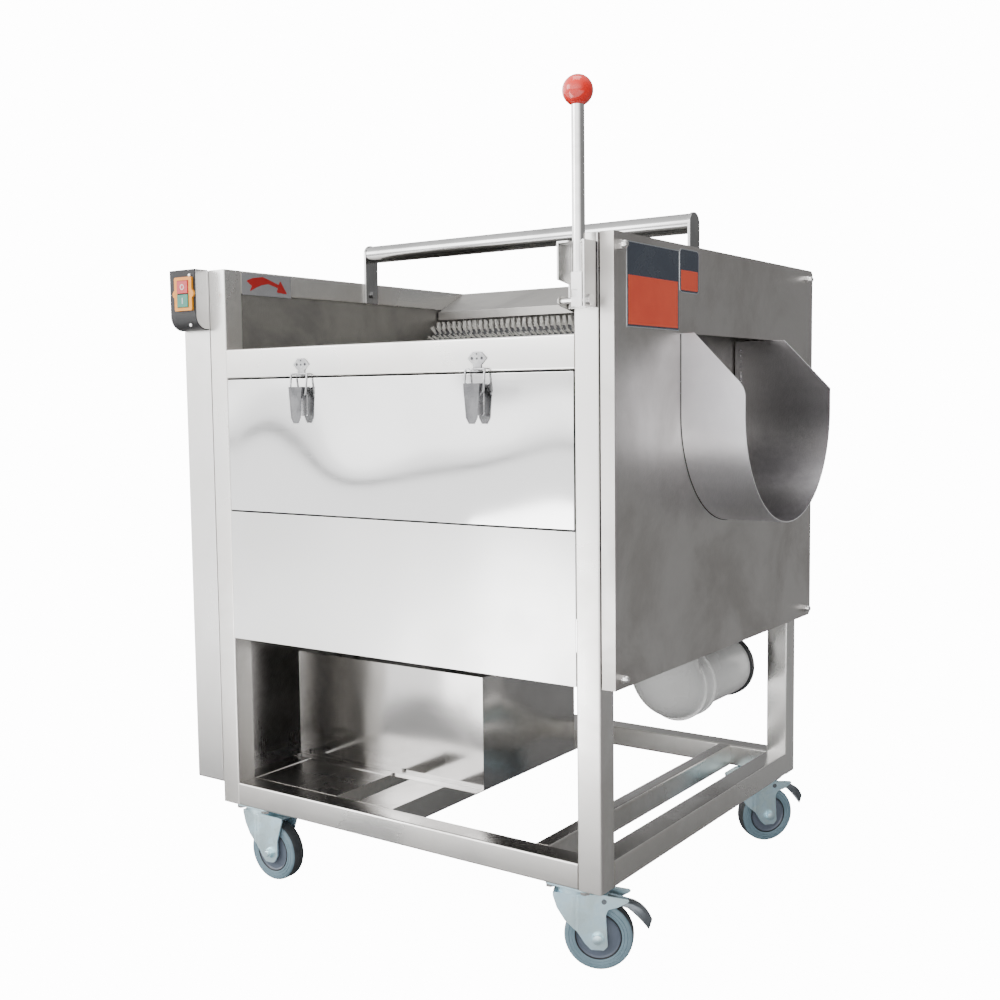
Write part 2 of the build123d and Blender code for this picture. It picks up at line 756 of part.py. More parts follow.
def sprocket(x, y, z):
    """Make a toothed wheel whose middle plane is at x, on the axis through y and z."""
    start = Plane((x - sprocket_width / 2, y, z), (0, 1, 0), (1, 0, 0))
    with BuildPart() as wheel:
        with BuildSketch(start):
            Circle(sprocket_root)
            with PolarLocations(sprocket_root + tooth_height / 2 - running_gap, sprocket_teeth):
                Trapezoid(tooth_root_width, tooth_height, tooth_slope, rotation=-90)
            Circle(shaft_radius - 2 * running_gap, mode=Mode.SUBTRACT)
        extrude(amount=sprocket_width)
    return wheel.part


x_roller_row = x_left - roller_row
x_motor_row = x_left - motor_row
shaft_end = 6.0
x_shaft_left = x_motor_row - sprocket_width
brush_left = x_hopper + brush_end_gap
brush_right = x_right_inner - boss_length - brush_end_gap
brush_length = brush_right - brush_left
tuft_spacing = brush_length / tuft_rings
tuft_height = roller_radius - core_diameter / 2 - tuft_root / 4
tuft_turn = 180.0 / tufts_per_ring

# One brush about the X axis: a hollow core with rings of tufts, each ring turned half a step
with BuildPart() as tufts:
    for ring in range(tuft_rings):
        for k in range(tufts_per_ring):
            turn = (k + (ring % 2) / 2) * 2 * tuft_turn
            out = (0, cos(radians(turn)), sin(radians(turn)))
            foot = core_diameter / 2 - tuft_root
            start = (brush_left + (ring + 1 / 2) * tuft_spacing, foot * out[1], foot * out[2])
            with BuildSketch(Plane(start, (1, 0, 0), out)):
                Rectangle(tuft_side, tuft_side)
            extrude(amount=tuft_height + tuft_root)
with BuildPart() as brush:
    with BuildSketch(Plane.YZ.offset(brush_left)):
        Circle(core_diameter / 2)
        Circle(shaft_radius + seat_gap / 2, mode=Mode.SUBTRACT)
    extrude(amount=brush_length)
    add(tufts.part)

# Shaft about the X axis, from the sprockets to the right bush
with BuildPart() as roller_shaft:
    with BuildSketch(Plane.YZ.offset(x_shaft_left)):
        Circle(shaft_radius)
    extrude(amount=x_right_plate - sheet - x_shaft_left)

for index, (y, z) in enumerate(roller_axes):
    place = Location((0, y, z))
    pieces = [brush.part.moved(place)]
    toothed = roller_shaft.part.moved(place) + sprocket(x_roller_row, y, z)
    if index == arc_rollers // 2:
        toothed = toothed + sprocket(x_motor_row, y, z)
    pieces.append(Part(toothed.wrapped))
    roller = Compound(label=f"brush_roller_{index + 1}", children=pieces)
    export_step(roller, f"parts/brush_roller_{index + 1}.step")

# Motor shaft with its sprocket
motor_shaft_plane = Plane((x_shaft_left, y_motor, z_motor), (0, 1, 0), (1, 0, 0))
motor_wheel = sprocket(x_motor_row, y_motor, z_motor)
with BuildPart() as motor_pinion:
    with BuildSketch(motor_shaft_plane):
        Circle(motor_shaft_radius)
    extrude(amount=x_motor + gear_end_length - seat_gap - x_shaft_left)
    add(motor_wheel)
motor_pinion.part.label = "motor_pinion"
export_step(motor_pinion.part, "parts/motor_pinion.step")

# Chains: side plates beside the teeth, closed outside them
chain_outer = pitch_radius + chain_half_height
chain_inner = pitch_radius - chain_half_height
tooth_tip = sprocket_root + tooth_height
web_inner = tooth_tip + seat_gap
chain_width = sprocket_width + 2 * (chain_side_gap + chain_side)


def chain_loop(x, outline):
    """Make a closed chain whose pitch line runs round an outline of sprocket axes."""
    with BuildPart() as loop:
        with BuildSketch(Plane.YZ.offset(x - chain_width / 2)):
            add(outline)
            offset(amount=chain_outer)
            hollow = offset(outline, amount=chain_inner, mode=Mode.PRIVATE)
            add(hollow, mode=Mode.SUBTRACT)
        extrude(amount=chain_width)
        with BuildSketch(Plane.YZ.offset(x - sprocket_width / 2 - chain_side_gap)):
            add(outline)
            offset(amount=web_inner)
        extrude(amount=sprocket_width + 2 * chain_side_gap, mode=Mode.SUBTRACT)
    return loop.part


with BuildSketch() as roller_outline:
    with BuildLine():
        Polyline(*roller_axes, close=True)
    make_face()
bottom = roller_axes[arc_rollers // 2]
sliver = running_gap
with BuildSketch() as motor_outline:
    with BuildLine():
        Polyline(
            (bottom[0] - sliver, bottom[1]),
            (bottom[0] + sliver, bottom[1]),
            (y_motor + sliver, z_motor),
            (y_motor - sliver, z_motor),
            close=True,
        )
    make_face()
roller_chain = chain_loop(x_roller_row, roller_outline.sketch)
motor_chain = chain_loop(x_motor_row, motor_outline.sketch)
drive_chains = Compound(label="drive_chains", children=[roller_chain, motor_chain])
export_step(drive_chains, "parts/drive_chains.step")

# Drain tray under the rollers, with its spout
tray_floor_half = 135.0
tray_rim_rise = 120.0
tray_rim_half = 283.0
spout_radius = 51.2
spout_rearward = 14.0
spout_length = 46.0
x_spout = x_right_inner - spout_radius - seat_gap
y_spout = y_trough + spout_rearward
with BuildPart() as drain_tray:
    with BuildSketch(Plane.YZ.offset(x_hopper)):
        with BuildLine():
            Polyline(
                (y_trough - tray_rim_half, z_tray + tray_rim_rise),
                (y_trough - tray_floor_half, z_tray),
                (y_trough + tray_floor_half, z_tray),
                (y_trough + tray_rim_half, z_tray + tray_rim_rise),
            )
        trace(line_width=tray_sheet)
    extrude(amount=hopper_width)
    with BuildSketch(Plane((x_spout, y_spout, z_tray - spout_length))):
        Circle(spout_radius)
    extrude(amount=spout_length)
    with BuildSketch(Plane((x_spout, y_spout, z_tray - spout_length))):
        Circle(spout_radius - tray_sheet)
    extrude(amount=spout_length + overrun, mode=Mode.SUBTRACT)
drain_tray.part.label = "drain_tray"
export_step(drain_tray.part, "parts/drain_tray.step")

# Drain elbow of plastic pipe: down from the spout, then out to the back
pipe_radius = 55.0
pipe_wall = 3.5
elbow_radius = 60.0
bend_radius = 62.0
drain_drop = 140.0
elbow_drop = 18.0
elbow_run = 86.0
pipe_run = 244.0
bead_radius = 63.5
bead_length = 7.0
first_bead_run = 43.0
z_drain = z_tray - drain_drop
z_elbow = z_tray - elbow_drop
y_pipe_end = y_spout + pipe_run
with BuildPart() as drain_elbow:
    with BuildLine() as elbow_path:
        Line((x_spout, y_spout, z_elbow), (x_spout, y_spout, z_drain + bend_radius))
        TangentArc(
            (x_spout, y_spout, z_drain + bend_radius),
            (x_spout, y_spout + bend_radius, z_drain),
            tangent=(0, 0, -1),
        )
        Line((x_spout, y_spout + bend_radius, z_drain), (x_spout, y_spout + elbow_run, z_drain))
    with BuildSketch(Plane((x_spout, y_spout, z_elbow), (1, 0, 0), (0, 0, -1))):
        Circle(elbow_radius)
    sweep(path=elbow_path.line)
    with BuildSketch(Plane((x_spout, y_spout + bend_radius, z_drain), (1, 0, 0), (0, 1, 0))):
        Circle(pipe_radius)
    extrude(amount=pipe_run - bend_radius)
    for run in (first_bead_run, elbow_run - bead_length):
        with BuildSketch(Plane((x_spout, y_spout + run, z_drain), (1, 0, 0), (0, 1, 0))):
            Circle(bead_radius)
            Circle(pipe_radius - pipe_wall, mode=Mode.SUBTRACT)
        extrude(amount=bead_length)
    with BuildSketch(Plane((x_spout, y_spout, z_elbow), (1, 0, 0), (0, 0, -1))):
        Circle(pipe_radius - pipe_wall)
    sweep(path=elbow_path.line, mode=Mode.SUBTRACT)
    with BuildSketch(Plane((x_spout, y_spout + bend_radius, z_drain), (1, 0, 0), (0, 1, 0))):
        Circle(pipe_radius - pipe_wall)
    extrude(amount=pipe_run - bend_radius, mode=Mode.SUBTRACT)
drain_elbow.part.label = "drain_elbow"
export_step(drain_elbow.part, "parts/drain_elbow.step")

# Dark coupling ring on the pipe's end
ring_radius = 59.0
ring_length = 12.0
with BuildPart() as drain_coupling:
    with BuildSketch(Plane((x_spout, y_pipe_end, z_drain), (1, 0, 0), (0, 1, 0))):
        Circle(ring_radius)
        Circle(pipe_radius - pipe_wall, mode=Mode.SUBTRACT)
    extrude(amount=ring_length)
drain_coupling.part.label = "drain_coupling"
export_step(drain_coupling.part, "parts/drain_coupling.step")

# Handle bar over the hopper, on two flat legs
handle_radius = 16.5
handle_wall = 2.0
handle_rise = 56.0
handle_rearward = 5.0
leg_thick = 5.0
leg_width = 36.0
leg_lap = 39.0
leg_bolt_drop = 22.0
leg_bolt_radius = 7.0
leg_bolt_head = 5.0
z_handle = z_head + handle_rise
y_handle = y_trough + handle_rearward
with BuildPart() as handle_bar:
    for start in (x_inner_left, x_inner_right - leg_thick):
        with BuildSketch(Plane.YZ.offset(start)):
            with Locations((y_handle, (z_head - leg_lap + z_handle) / 2)):
                Rectangle(leg_width, handle_rise + leg_lap)
            with Locations((y_handle, z_handle)):
                Circle(leg_width / 2)
        extrude(amount=leg_thick)
    with BuildSketch(Plane.YZ.offset(x_inner_left + leg_thick)):
        with Locations((y_handle, z_handle)):
            Circle(handle_radius)
            Circle(handle_radius - handle_wall, mode=Mode.SUBTRACT)
    extrude(amount=span_x - 2 * leg_thick)
    with BuildSketch(Plane.YZ.offset(x_inner_left + leg_thick)):
        with Locations((y_handle, z_head - leg_bolt_drop)):
            RegularPolygon(leg_bolt_radius, 6)
    extrude(amount=leg_bolt_head)
handle_bar.part.label = "handle_bar"
export_step(handle_bar.part, "parts/handle_bar.step")

# Lever bracket on the right front post
cheek = 3.0
pivot_drop = 94.0
bracket_drop = 13.0
bracket_height = 91.0
bracket_reach = 36.0
right_cheek_inset = 0.5
left_cheek_inset = 42.0
notch_rise = 34.0
notch_depth = 30.0
notch_slant = 4.5
slot_width = 22.0
pivot_forward = 22.0
pivot_radius = 3.5
y_lever = y_front - lever_forward
y_pivot = y_front - pivot_forward
z_pivot = z_head - pivot_drop
z_bracket_top = z_head - bracket_drop
z_bracket_foot = z_bracket_top - bracket_height
x_right_cheek = x_right - right_cheek_inset
x_left_cheek = x_right - left_cheek_inset
lever_inset = 15.8
x_lever = x_right - lever_inset
with BuildPart() as lever_bracket:
    with BuildSketch(Plane.YZ.offset(x_right_cheek - cheek)):
        with BuildLine():
            Polyline(
                (y_front, z_bracket_foot),
                (y_front - bracket_reach, z_bracket_foot),
                (y_front - bracket_reach, z_bracket_top),
                (y_front, z_bracket_top),
                close=True,
            )
        make_face()
        with Locations((y_pivot, z_pivot)):
            Circle(pivot_radius + running_gap, mode=Mode.SUBTRACT)
    extrude(amount=cheek)
    with BuildSketch(Plane.YZ.offset(x_left_cheek - cheek)):
        with BuildLine():
            Polyline(
                (y_front, z_bracket_foot),
                (y_front - bracket_reach + notch_depth, z_bracket_foot),
                (y_front - bracket_reach + notch_depth, z_bracket_foot + notch_rise),
                (y_front - bracket_reach, z_bracket_foot + notch_rise + notch_slant),
                (y_front - bracket_reach, z_bracket_top),
                (y_front, z_bracket_top),
                close=True,
            )
        make_face()
    extrude(amount=cheek)
    with BuildSketch(Plane.XZ.offset(-y_front)):
        with Locations(((x_left_cheek - cheek + x_right_cheek) / 2, (z_bracket_foot + z_bracket_top) / 2)):
            Rectangle(x_right_cheek - x_left_cheek + cheek, bracket_height)
    extrude(amount=cheek)
    with BuildSketch(Plane.XY.offset(z_bracket_top - cheek)):
        with Locations(((x_left_cheek - cheek + x_right_cheek) / 2, y_front - bracket_reach / 2)):
            Rectangle(x_right_cheek - x_left_cheek + cheek, bracket_reach)
        with Locations((x_lever, y_front - bracket_reach / 2 - 2 * cheek)):
            Rectangle(slot_width, bracket_reach, mode=Mode.SUBTRACT)
    extrude(amount=cheek)
lever_bracket.part.label = "lever_bracket"
export_step(lever_bracket.part, "parts/lever_bracket.step")

# Control lever: clevis block, rod and the pivot pin that turns with it
block_width = 17.0
block_depth = 20.0
block_below_pin = 9.0
block_above_pin = 38.0
block_slot_width = 9.0
block_slot_height = 11.0
block_slot_rise = 9.0
rod_radius = 9.0
knob_above_pin = 282.0
pin_head = 7.5
pin_head_length = 3.0
gate_arm_thick = gate_sheet
knob_radius = knob_diameter / 2
z_knob = z_pivot + knob_above_pin
z_block = z_pivot - block_below_pin
x_slot = x_lever - block_width / 2 + block_slot_width / 2
x_pin_left = x_gate
x_pin_right = x_right_cheek + seat_gap
with BuildPart() as control_lever:
    with BuildSketch(Plane.XY.offset(z_block)):
        with Locations((x_lever, y_pivot)):
            Rectangle(block_width, block_depth)
    extrude(amount=block_below_pin + block_above_pin)
    with BuildSketch(Plane.XZ.offset(-y_pivot)):
        with Locations((x_slot, z_pivot + block_slot_rise)):
            Rectangle(block_slot_width, block_slot_height)
    extrude(amount=block_depth, both=True, mode=Mode.SUBTRACT)
    with BuildSketch(Plane.XY.offset(z_pivot + block_above_pin)):
        with Locations((x_lever, y_lever)):
            Circle(rod_radius)
    extrude(amount=knob_above_pin - block_above_pin - knob_radius * 2 / 3)
    with BuildSketch(Plane.YZ.offset(x_pin_left)):
        with Locations((y_pivot, z_pivot)):
            Circle(pivot_radius)
    extrude(amount=x_pin_right - x_pin_left)
    with BuildSketch(Plane.YZ.offset(x_pin_right)):
        with Locations((y_pivot, z_pivot)):
            Circle(pin_head)
    extrude(amount=pin_head_length)
control_lever.part.label = "control_lever"
export_step(control_lever.part, "parts/control_lever.step")

# Red ball on the rod
with BuildPart() as lever_knob:
    with Locations((x_lever, y_lever, z_knob)):
        Sphere(knob_radius)
    with BuildSketch(Plane.XY.offset(z_knob - knob_radius)):
        with Locations((x_lever, y_lever)):
            Circle(rod_radius)
    extrude(amount=knob_radius / 3, mode=Mode.SUBTRACT)
lever_knob.part.label = "lever_knob"
export_step(lever_knob.part, "parts/lever_knob.step")

# Discharge gate: a U of sheet on an arm from the pivot
gate_overlap = 12.0
gate_rise = 133.0
arm_half = 12.0
arm_eye = 7.0
arm_rise = 8.0
gate_radius = trough_radius + gate_overlap
z_gate_top = z_trough + gate_rise
with BuildPart() as discharge_gate:
    with BuildSketch(Plane.YZ.offset(x_gate)):
        add(trough_outline(gate_radius, z_gate_top))
        with BuildLine():
            Polyline(
                (y_pivot, z_pivot + arm_eye),
                (y_trough, z_gate_top + arm_rise),
                (y_trough, z_trough),
                (y_trough - gate_radius + arm_half, z_gate_top - 2 * arm_half),
                (y_pivot, z_pivot - arm_eye),
                close=True,
            )
        make_face()
        with Locations((y_pivot, z_pivot)):
            Circle(arm_eye)
            Circle(pivot_radius, mode=Mode.SUBTRACT)
    extrude(amount=gate_sheet)
discharge_gate.part.label = "discharge_gate"
export_step(discharge_gate.part, "parts/discharge_gate.step")

# Switch hood: steel sides, top and back, with a rounded lower front corner
hood_width = 64.0
hood_reach = 30.0
hood_height = 104.0
hood_rise = 1.0
hood_corner = 25.0
hood_right_inset = 0.8
x_hood = x_left - hood_right_inset - hood_width / 2
z_hood_top = z_head + hood_rise
z_hood_foot = z_hood_top - hood_height
y_hood_front = y_front - hood_reach + sheet + seat_gap
z_hood_floor = z_hood_foot + sheet + seat_gap
hood_round = hood_corner - sheet
with BuildPart() as switch_hood:
    for start in (x_hood - hood_width / 2, x_hood + hood_width / 2 - sheet):
        with BuildSketch(Plane.YZ.offset(start)):
            with BuildLine():
                Polyline(
                    (y_hood_front, z_hood_floor + hood_round),
                    (y_hood_front, z_hood_top),
                    (y_front, z_hood_top),
                    (y_front, z_hood_floor),
                    (y_hood_front + hood_round, z_hood_floor),
                )
                TangentArc(
                    (y_hood_front + hood_round, z_hood_floor),
                    (y_hood_front, z_hood_floor + hood_round),
                    tangent=(-1, 0),
                )
            make_face()
        extrude(amount=sheet)
    with BuildSketch(Plane.XZ.offset(-y_front)):
        with Locations((x_hood, (z_hood_floor + z_hood_top) / 2)):
            Rectangle(hood_width, z_hood_top - z_hood_floor)
    extrude(amount=sheet)
    with BuildSketch(Plane.XY.offset(z_hood_top - sheet)):
        with Locations((x_hood, (y_hood_front + y_front) / 2)):
            Rectangle(hood_width, y_front - y_hood_front)
    extrude(amount=sheet)
switch_hood.part.label = "switch_hood"
export_step(switch_hood.part, "parts/switch_hood.step")

# Black plate bent round the hood's front, with the bezel and the switch body behind it
bezel_shift = 5.5
bezel_width = 44.0
bezel_height = 58.0
bezel_corner = 3.0
bezel_lift = 4.0
bezel_drop = 42.0
ear_radius = 7.0
ear_offset = 19.5
body_width = 36.0
body_depth = 16.0
button_width = 27.0
button_height = 23.0
button_travel = 3.0
button_stand = 6.0
button_gap = 0.5
x_switch = x_hood + bezel_shift
z_switch = z_hood_top - bezel_drop
y_switch = y_front - hood_reach
y_plate_line = y_switch + sheet / 2
z_plate_line = z_hood_foot + sheet / 2
button_places = {
    "stop": (x_switch, z_switch + button_height / 2 + button_gap / 2),
    "start": (x_switch, z_switch - button_height / 2 - button_gap / 2),
}
with BuildPart() as switch_plate:
    with BuildSketch(Plane.YZ.offset(x_hood - hood_width / 2)):
        with BuildLine():
            Line((y_plate_line, z_hood_top), (y_plate_line, z_hood_foot + hood_corner))
            TangentArc(
                (y_plate_line, z_hood_foot + hood_corner),
                (y_switch + hood_corner, z_plate_line),
                tangent=(0, -1),
            )
            Line((y_switch + hood_corner, z_plate_line), (y_front - seat_gap, z_plate_line))
        trace(line_width=sheet)
    extrude(amount=hood_width)
    with BuildSketch(Plane.XZ.offset(-y_switch)):
        with Locations((x_switch, z_switch)):
            RectangleRounded(bezel_width, bezel_height, bezel_corner)
        with Locations((x_switch - ear_offset, z_switch), (x_switch + ear_offset, z_switch)):
            Circle(ear_radius)
    extrude(amount=bezel_lift)
    with BuildSketch(Plane.XZ.offset(-y_switch)):
        with Locations((x_switch, z_switch)):
            Rectangle(body_width, bezel_height - 2 * bezel_corner)
    extrude(amount=-body_depth)
    with BuildSketch(Plane.XZ.offset(-y_switch + bezel_lift)):
        with Locations((x_switch, z_switch)):
            Rectangle(button_width + 2 * button_gap, 2 * button_height + 2 * button_gap)
    extrude(amount=-bezel_lift - button_travel - button_gap, mode=Mode.SUBTRACT)
switch_plate.part.label = "switch_plate"
export_step(switch_plate.part, "parts/switch_plate.step")

for kind, (x, z) in button_places.items():
    with BuildPart() as button:
        with BuildSketch(Plane.XZ.offset(-y_switch)):
            with Locations((x, z)):
                Rectangle(button_width, button_height - button_gap)
        extrude(amount=button_stand)
        front_face = button.faces().sort_by(Axis.Y)[0]
        fillet(front_face.edges(), 2 * button_gap)
    button.part.label = f"{kind}_button"
    export_step(button.part, f"parts/{kind}_button.step")

# Caster in its own frame: swivel axis through the origin, frame foot at zero, trail along +X
plate_length = 76.0
plate_depth = 64.0
plate_thick = 4.0
plate_round = 10.0
race_radius = 27.0
race_height = 10.2
king_radius = 6.0
king_head_radius = 11.0
king_head_height = 5.0
fork_sheet = 3.0
fork_gap = 36.0
fork_front = 33.0
fork_chest_reach = 27.0
fork_chest_rise = 43.0
fork_waist_reach = 15.0
fork_waist_rise = 25.0
fork_shin_reach = 4.0
fork_shin_rise = 8.5
fork_ankle_reach = 15.5
fork_ankle_drop = 9.0
leg_toe = 24.5
leg_foot_drop = 17.5
leg_rear = 49.0
leg_calf_reach = 46.5
leg_calf_rise = 36.0
arm_root = 41.0
arm_end = 81.0
arm_fall = 4.5
arm_tip = 5.0
arm_heel_reach = 64.0
arm_heel_drop = 32.0
arm_pit_reach = 50.0
arm_pit_drop = 36.0
plain_rear = 65.0
plain_hip_drop = 21.0
plain_knee_reach = 59.0
plain_knee_drop = 38.0
plain_calf_reach = 53.0
plain_calf_rise = 22.0
axle_radius = 5.0
pedal_pivot = 44.0
pedal_pivot_drop = 24.0
pedal_hub = 5.0
pedal_neck_reach = 78.0
pedal_neck_drop = 27.0
pedal_bulge_reach = 103.0
pedal_bulge_drop = 39.0
pedal_shoulder_drop = 55.0
pedal_tip_reach = 109.0
pedal_tip_drop = 71.0
pedal_palm_reach = 95.5
pedal_palm_drop = 51.0
pedal_heel_reach = 78.0
pedal_heel_drop = 36.0
pedal_shoe_reach = 64.0
pedal_shoe_drop = 32.5
pedal_throat_reach = 57.0
pedal_throat_drop = 29.5
hub_diameter = 69.0
hub_wall = 8.0
hub_waist = 18.0
axle_boss_radius = 14.0
tyre_chamfer = 5.0
nut_radius = 9.0
nut_thick = 8.0
crown = -plate_thick - race_height - seat_gap
axle_drop = wheel_diameter / 2 - caster_height
crown_foot = crown - fork_sheet

with BuildPart() as caster_plate:
    with BuildSketch(Plane.XY.offset(-plate_thick)):
        RectangleRounded(plate_length, plate_depth, plate_round)
    extrude(amount=plate_thick)
    with BuildSketch(Plane.XY.offset(-plate_thick - race_height)):
        Circle(race_radius)
    extrude(amount=race_height)
    with BuildSketch(Plane.XY.offset(crown_foot - seat_gap)):
        Circle(king_radius)
    extrude(amount=-crown_foot + seat_gap)
    with BuildSketch(Plane.XY.offset(crown_foot - seat_gap - king_head_height)):
        Circle(king_head_radius)
    extrude(amount=king_head_height)

foot = axle_drop - leg_foot_drop
fork_front_edge = [
    (leg_toe, foot),
    (fork_ankle_reach, axle_drop - fork_ankle_drop),
    (fork_shin_reach, axle_drop + fork_shin_rise),
    (-fork_waist_reach, axle_drop + fork_waist_rise),
    (-fork_chest_reach, axle_drop + fork_chest_rise),
    (-fork_front, crown - 2 * fork_sheet),
    (-fork_front, crown),
]
braked_rear_edge = [
    (arm_root, crown),
    (arm_end - arm_tip / 2, crown - arm_fall),
    (arm_end, crown - arm_fall - arm_tip / 2),
    (arm_end - arm_tip / 2, crown - arm_fall - arm_tip),
    (arm_heel_reach, -arm_heel_drop),
    (arm_pit_reach, -arm_pit_drop),
    (leg_calf_reach, axle_drop + leg_calf_rise),
    (leg_rear, foot + 2 * fork_sheet),
    (leg_rear - 2 * fork_sheet, foot),
]
plain_rear_edge = [
    (plain_rear, crown),
    (plain_rear, -plain_hip_drop),
    (plain_knee_reach, -plain_knee_drop),
    (plain_calf_reach, axle_drop + plain_calf_rise),
    (plain_calf_reach, axle_drop - fork_sheet),
    (plain_calf_reach - 4 * fork_sheet, foot),
]


def make_fork(rear_edge, crown_rear):
    """Make a fork with its crown, axle and nuts from its rear edge's outline and where the crown ends."""
    with BuildPart() as fork:
        with BuildSketch(Plane.XZ.offset(-fork_gap / 2 - fork_sheet)):
            with BuildLine():
                Polyline(*fork_front_edge, *rear_edge, close=True)
            make_face()
        extrude(amount=fork_gap + 2 * fork_sheet)
        with BuildSketch(Plane.XZ.offset(-fork_gap / 2)):
            with Locations((0, crown_foot - wheel_diameter)):
                Rectangle(4 * plain_rear, 2 * wheel_diameter)
        extrude(amount=fork_gap, mode=Mode.SUBTRACT)
        with BuildSketch(Plane.XY.offset(crown_foot - overrun)):
            with Locations((crown_rear + plain_rear, 0)):
                Rectangle(2 * plain_rear, fork_gap)
        extrude(amount=2 * overrun + fork_sheet, mode=Mode.SUBTRACT)
        with BuildSketch(Plane.XY.offset(crown_foot)):
            Circle(king_radius + running_gap)
        extrude(amount=fork_sheet, mode=Mode.SUBTRACT)
        with BuildSketch(Plane.XZ.offset(-fork_gap / 2 - fork_sheet - nut_thick)):
            with Locations((trail, axle_drop)):
                RegularPolygon(nut_radius, 6)
        extrude(amount=nut_thick)
        with BuildSketch(Plane.XZ.offset(fork_gap / 2 + fork_sheet)):
            with Locations((trail, axle_drop)):
                RegularPolygon(nut_radius, 6)
        extrude(amount=nut_thick)
        with BuildSketch(Plane.XZ.offset(-fork_gap / 2)):
            with Locations((trail, axle_drop)):
                Circle(axle_radius)
        extrude(amount=fork_gap)
    return fork.part


plain_fork = make_fork(plain_rear_edge, plain_rear + overrun)
with BuildPart() as braked_fork:
    add(make_fork(braked_rear_edge, leg_rear))
    with BuildSketch(Plane.XZ.offset(-fork_gap / 2 - fork_sheet)):
        with Locations((pedal_pivot, -pedal_pivot_drop)):
            Circle(axle_radius / 2 + running_gap)
    extrude(amount=fork_gap + 2 * fork_sheet, mode=Mode.SUBTRACT)

with BuildPart() as hub:
    with BuildSketch(Plane.XZ):
        with BuildLine():
            Polyline(
                (trail + axle_radius + running_gap, -fork_gap / 2 + seat_gap),
                (trail + axle_boss_radius, -fork_gap / 2 + seat_gap),
                (trail + axle_boss_radius, -hub_waist / 2),
                (trail + hub_diameter / 2 - hub_wall, -hub_waist / 2),
                (trail + hub_diameter / 2 - hub_wall, -tyre_width / 2),
                (trail + hub_diameter / 2, -tyre_width / 2),
                (trail + hub_diameter / 2, tyre_width / 2),
                (trail + hub_diameter / 2 - hub_wall, tyre_width / 2),
                (trail + hub_diameter / 2 - hub_wall, hub_waist / 2),
                (trail + axle_boss_radius, hub_waist / 2),
                (trail + axle_boss_radius, fork_gap / 2 - seat_gap),
                (trail + axle_radius + running_gap, fork_gap / 2 - seat_gap),
                close=True,
            )
        make_face()
    revolve(axis=Axis((trail, 0, 0), (0, 0, 1)))

tyre_outer = wheel_diameter / 2
with BuildPart() as tyre:
    with BuildSketch(Plane.XZ):
        with BuildLine():
            Polyline(
                (trail + hub_diameter / 2, -tyre_width / 2),
                (trail + tyre_outer - tyre_chamfer, -tyre_width / 2),
                (trail + tyre_outer, -tyre_width / 2 + tyre_chamfer),
                (trail + tyre_outer, tyre_width / 2 - tyre_chamfer),
                (trail + tyre_outer - tyre_chamfer, tyre_width / 2),
                (trail + hub_diameter / 2, tyre_width / 2),
                close=True,
            )
        make_face()
    revolve(axis=Axis((trail, 0, 0), (0, 0, 1)))

with BuildPart() as pedal:
    with BuildSketch(Plane.XZ.offset(-pedal_width / 2)):
        with BuildLine():
            Line((pedal_pivot, -pedal_pivot_drop + pedal_hub), (pedal_neck_reach, -pedal_neck_drop))
            ThreePointArc(
                (pedal_neck_reach, -pedal_neck_drop),
                (pedal_bulge_reach, -pedal_bulge_drop),
                (pedal_reach, -pedal_shoulder_drop),
            )
            Line((pedal_reach, -pedal_shoulder_drop), (pedal_tip_reach, -pedal_tip_drop))
            ThreePointArc(
                (pedal_tip_reach, -pedal_tip_drop),
                (pedal_palm_reach, -pedal_palm_drop),
                (pedal_heel_reach, -pedal_heel_drop),
            )
            Polyline(
                (pedal_heel_reach, -pedal_heel_drop),
                (pedal_shoe_reach, -pedal_shoe_drop),
                (pedal_throat_reach, -pedal_throat_drop),
                (pedal_pivot, -pedal_pivot_drop - pedal_hub),
                (pedal_pivot, -pedal_pivot_drop + pedal_hub),
            )
        make_face()
        with Locations((pedal_pivot, -pedal_pivot_drop)):
            Circle(pedal_hub)
    extrude(amount=pedal_width)
    with BuildSketch(Plane.XZ.offset(-fork_gap / 2 - fork_sheet)):
        with Locations((pedal_pivot, -pedal_pivot_drop)):
            Circle(axle_radius / 2)
    extrude(amount=fork_gap + 2 * fork_sheet)

x_left_casters = x_left + caster_left_inset
x_right_casters = x_right - caster_right_inset
y_front_casters = y_front + caster_front_inset
y_rear_casters = y_back - caster_rear_inset
caster_places = {
    "front_left": (x_left_casters, y_front_casters, front_left_swivel_angle, plain_fork),
    "front_right": (x_right_casters, y_front_casters, front_right_swivel_angle, braked_fork.part),
    "rear_left": (x_left_casters, y_rear_casters, rear_left_swivel_angle, plain_fork),
    "rear_right": (x_right_casters, y_rear_casters, rear_right_swivel_angle, braked_fork.part),
}
top_plates = []
wheel_tilt = Location((0, 0, axle_drop), (-90, 0, 0))
for corner, (x, y, turn, fork) in caster_places.items():
    swivelled = Location((x, y, z_foot), (0, 0, turn))
    top_plates.append(caster_plate.part.moved(Location((x, y, z_foot))))
    caster_fork = fork.moved(swivelled)
    caster_fork.label = f"caster_fork_{corner}"
    export_step(caster_fork, f"parts/caster_fork_{corner}.step")
    caster_hub = hub.part.moved(swivelled * wheel_tilt)
    caster_hub.label = f"caster_hub_{corner}"
    export_step(caster_hub, f"parts/caster_hub_{corner}.step")
    caster_tyre = tyre.part.moved(swivelled * wheel_tilt)
    caster_tyre.label = f"caster_tyre_{corner}"
    export_step(caster_tyre, f"parts/caster_tyre_{corner}.step")
for corner in ("front_right", "rear_right"):
    x, y, turn, fork = caster_places[corner]
    caster_pedal = pedal.part.moved(Location((x, y, z_foot), (0, 0, turn)))
    caster_pedal.label = f"caster_pedal_{corner}"
    export_step(caster_pedal, f"parts/caster_pedal_{corner}.step")
caster_plates = Compound(label="caster_plates", children=top_plates)
export_step(caster_plates, "parts/caster_plates.step")
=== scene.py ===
import json
import math
import random

